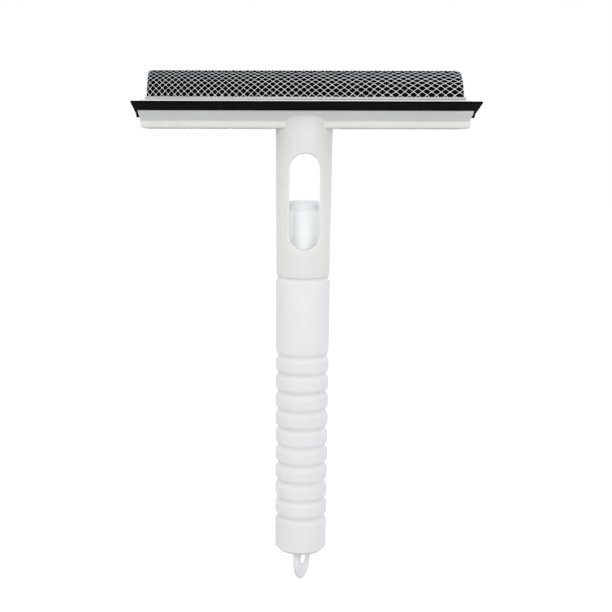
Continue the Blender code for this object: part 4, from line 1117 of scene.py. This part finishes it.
def make_frosted():
    """Frosted plastic: milky, denser towards its edges, with a painted glow (emission) where the button lies
    behind it.

    Light on its way to the button passes almost freely, and what lies behind a second wall is lost in
    the haze.
    """
    material = moulded("frosted_polypropylene", (0.87, 0.91, 0.92), (0.83, 0.88, 0.89), 0.34, grain=1300.0,
                       height=0.25, Emission_Color=(0.96, 0.98, 1.0, 1.0))
    tree, height = height_of(material)
    shader = tree.nodes["Principled BSDF"]
    button_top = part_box("actuator")[1].z
    # Painted glow: the wall emits light of its own, more round the button than above it.
    glow = ramp(tree, height, button_top - CAP_PAINTED_GLOW_EASE, button_top + CAP_PAINTED_GLOW_EASE, CAP_PAINTED_GLOW, CAP_TOP_PAINTED_GLOW)
    tree.links.new(glow, shader.inputs["Emission Strength"])
    facing = add_node(tree, "ShaderNodeLayerWeight", {"Blend": 0.35}).outputs["Facing"]
    seen = ramp(tree, facing, 0.0, 1.0, CAP_FACING, CAP_GLANCING)
    path = add_node(tree, "ShaderNodeLightPath").outputs
    second = reckoned(tree, "GREATER_THAN", path["Transparent Depth"], 1.5)
    seen = mixed_value(tree, second, seen, CAP_BEHIND)
    tree.links.new(mixed_value(tree, path["Is Camera Ray"], CAP_SHADE, seen), shader.inputs["Alpha"])
    return material


cap = dress(make_cap(), make_frosted())
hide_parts("overcap")
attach(cap, "cap")


# Floor, light and camera
# A white floor under a white sky, which the camera and reflections see at full white, while the
# object itself gets plain light: an even sky, a large soft lamp in front, and a weaker one on the
# left. The camera stands where the photograph's did.
SKY_LOW = 1.50                  # strength of the sky near the horizon
SKY_HIGH = 0.45                 # and overhead
FLOOR_HALF = 4.0
FLOOR_GAP = 0.0002              # below the loop's lowest point
FLOOR_GLOW = 0.72               # what the camera sees on top of the light that falls on the floor
LAMP_SIZE = 0.8
CAMERA_HEIGHT = 0.2853
CAMERA_REACH = 0.6793
CAMERA_SIDE = -0.0312           # it stands a little to the left, and its frame is shifted back
CAMERA_SHIFT = 0.0849           # in widths of the frame
CAMERA_PITCH = 8.62             # degrees below level
CAMERA_ROLL = -0.136            # degrees
CAMERA_LENS = 63.38             # millimetres


def seen_white(tree, plain):
    """Strength 1 where the camera, a reflection or glass looks, and the plain one elsewhere."""
    path = add_node(tree, "ShaderNodeLightPath").outputs
    total = reckoned(tree, "ADD", path["Is Camera Ray"], path["Is Glossy Ray"])
    total = reckoned(tree, "ADD", total, path["Is Transmission Ray"], use_clamp=True)
    return mixed_value(tree, total, plain, 1.0)


def make_sky():
    """A sky that is brighter near the horizon than overhead."""
    world = bpy.data.worlds.new("studio")
    bpy.context.scene.world = world
    world.use_nodes = True
    background = world.node_tree.nodes["Background"]
    background.inputs["Color"].default_value = (1, 1, 1, 1)
    tree = world.node_tree
    ahead = add_node(tree, "ShaderNodeTexCoord").outputs["Generated"]
    rise = add_node(tree, "ShaderNodeSeparateXYZ", {0: ahead}).outputs["Z"]
    plain = ramp(tree, rise, 0.0, 1.0, SKY_LOW, SKY_HIGH)
    tree.links.new(seen_white(tree, plain), background.inputs["Strength"])


def make_floor():
    """A matt floor that looks white to the camera, but for the object's shadow."""
    work = bmesh.new()
    bmesh.ops.create_grid(work, x_segments=1, y_segments=1, size=FLOOR_HALF)
    floor = new_piece("studio_floor", work)
    floor.location.z = -FLOOR_GAP
    material, tree, shader = new_material("studio_floor")
    shader.inputs["Base Color"].default_value = (0.44, 0.455, 0.485, 1)
    shader.inputs["Roughness"].default_value = 1.0
    shader.inputs["Specular IOR Level"].default_value = 0.0
    shader.inputs["Emission Color"].default_value = (1, 1, 1, 1)
    glow = reckoned(tree, "MULTIPLY", seen_white(tree, 0.0), FLOOR_GLOW)
    tree.links.new(glow, shader.inputs["Emission Strength"])
    dress(floor, material)


def make_lamp(name, place, aim, power):
    """A large soft lamp at a place, turned towards its aim, power in watts."""
    lamp = bpy.data.objects.new(name, bpy.data.lights.new(name, "AREA"))
    lamp.data.size = LAMP_SIZE
    lamp.data.energy = power
    lamp.location = place
    lamp.rotation_mode = "QUATERNION"
    lamp.rotation_quaternion = (Vector(aim) - Vector(place)).to_track_quat("-Z", "Y")
    bpy.context.scene.collection.objects.link(lamp)


def make_camera():
    """The camera at the photograph's viewing angle."""
    camera = bpy.data.objects.new("camera", bpy.data.cameras.new("camera"))
    camera.data.lens = CAMERA_LENS
    camera.data.shift_x = CAMERA_SHIFT
    camera.location = (CAMERA_SIDE, -CAMERA_REACH, CAMERA_HEIGHT)
    camera.rotation_euler = (math.radians(90 - CAMERA_PITCH), math.radians(CAMERA_ROLL), 0)
    bpy.context.scene.collection.objects.link(camera)
    bpy.context.scene.camera = camera


bpy.context.scene.view_settings.view_transform = "Standard"
make_sky()
make_floor()
make_lamp("front_lamp", place=(0.25, -1.3, 0.65), aim=(0, 0, 0.25), power=4.0)
make_lamp("left_lamp", place=(-1.4, -0.9, 0.9), aim=(0, 0, 0.2), power=1.6)
make_camera()
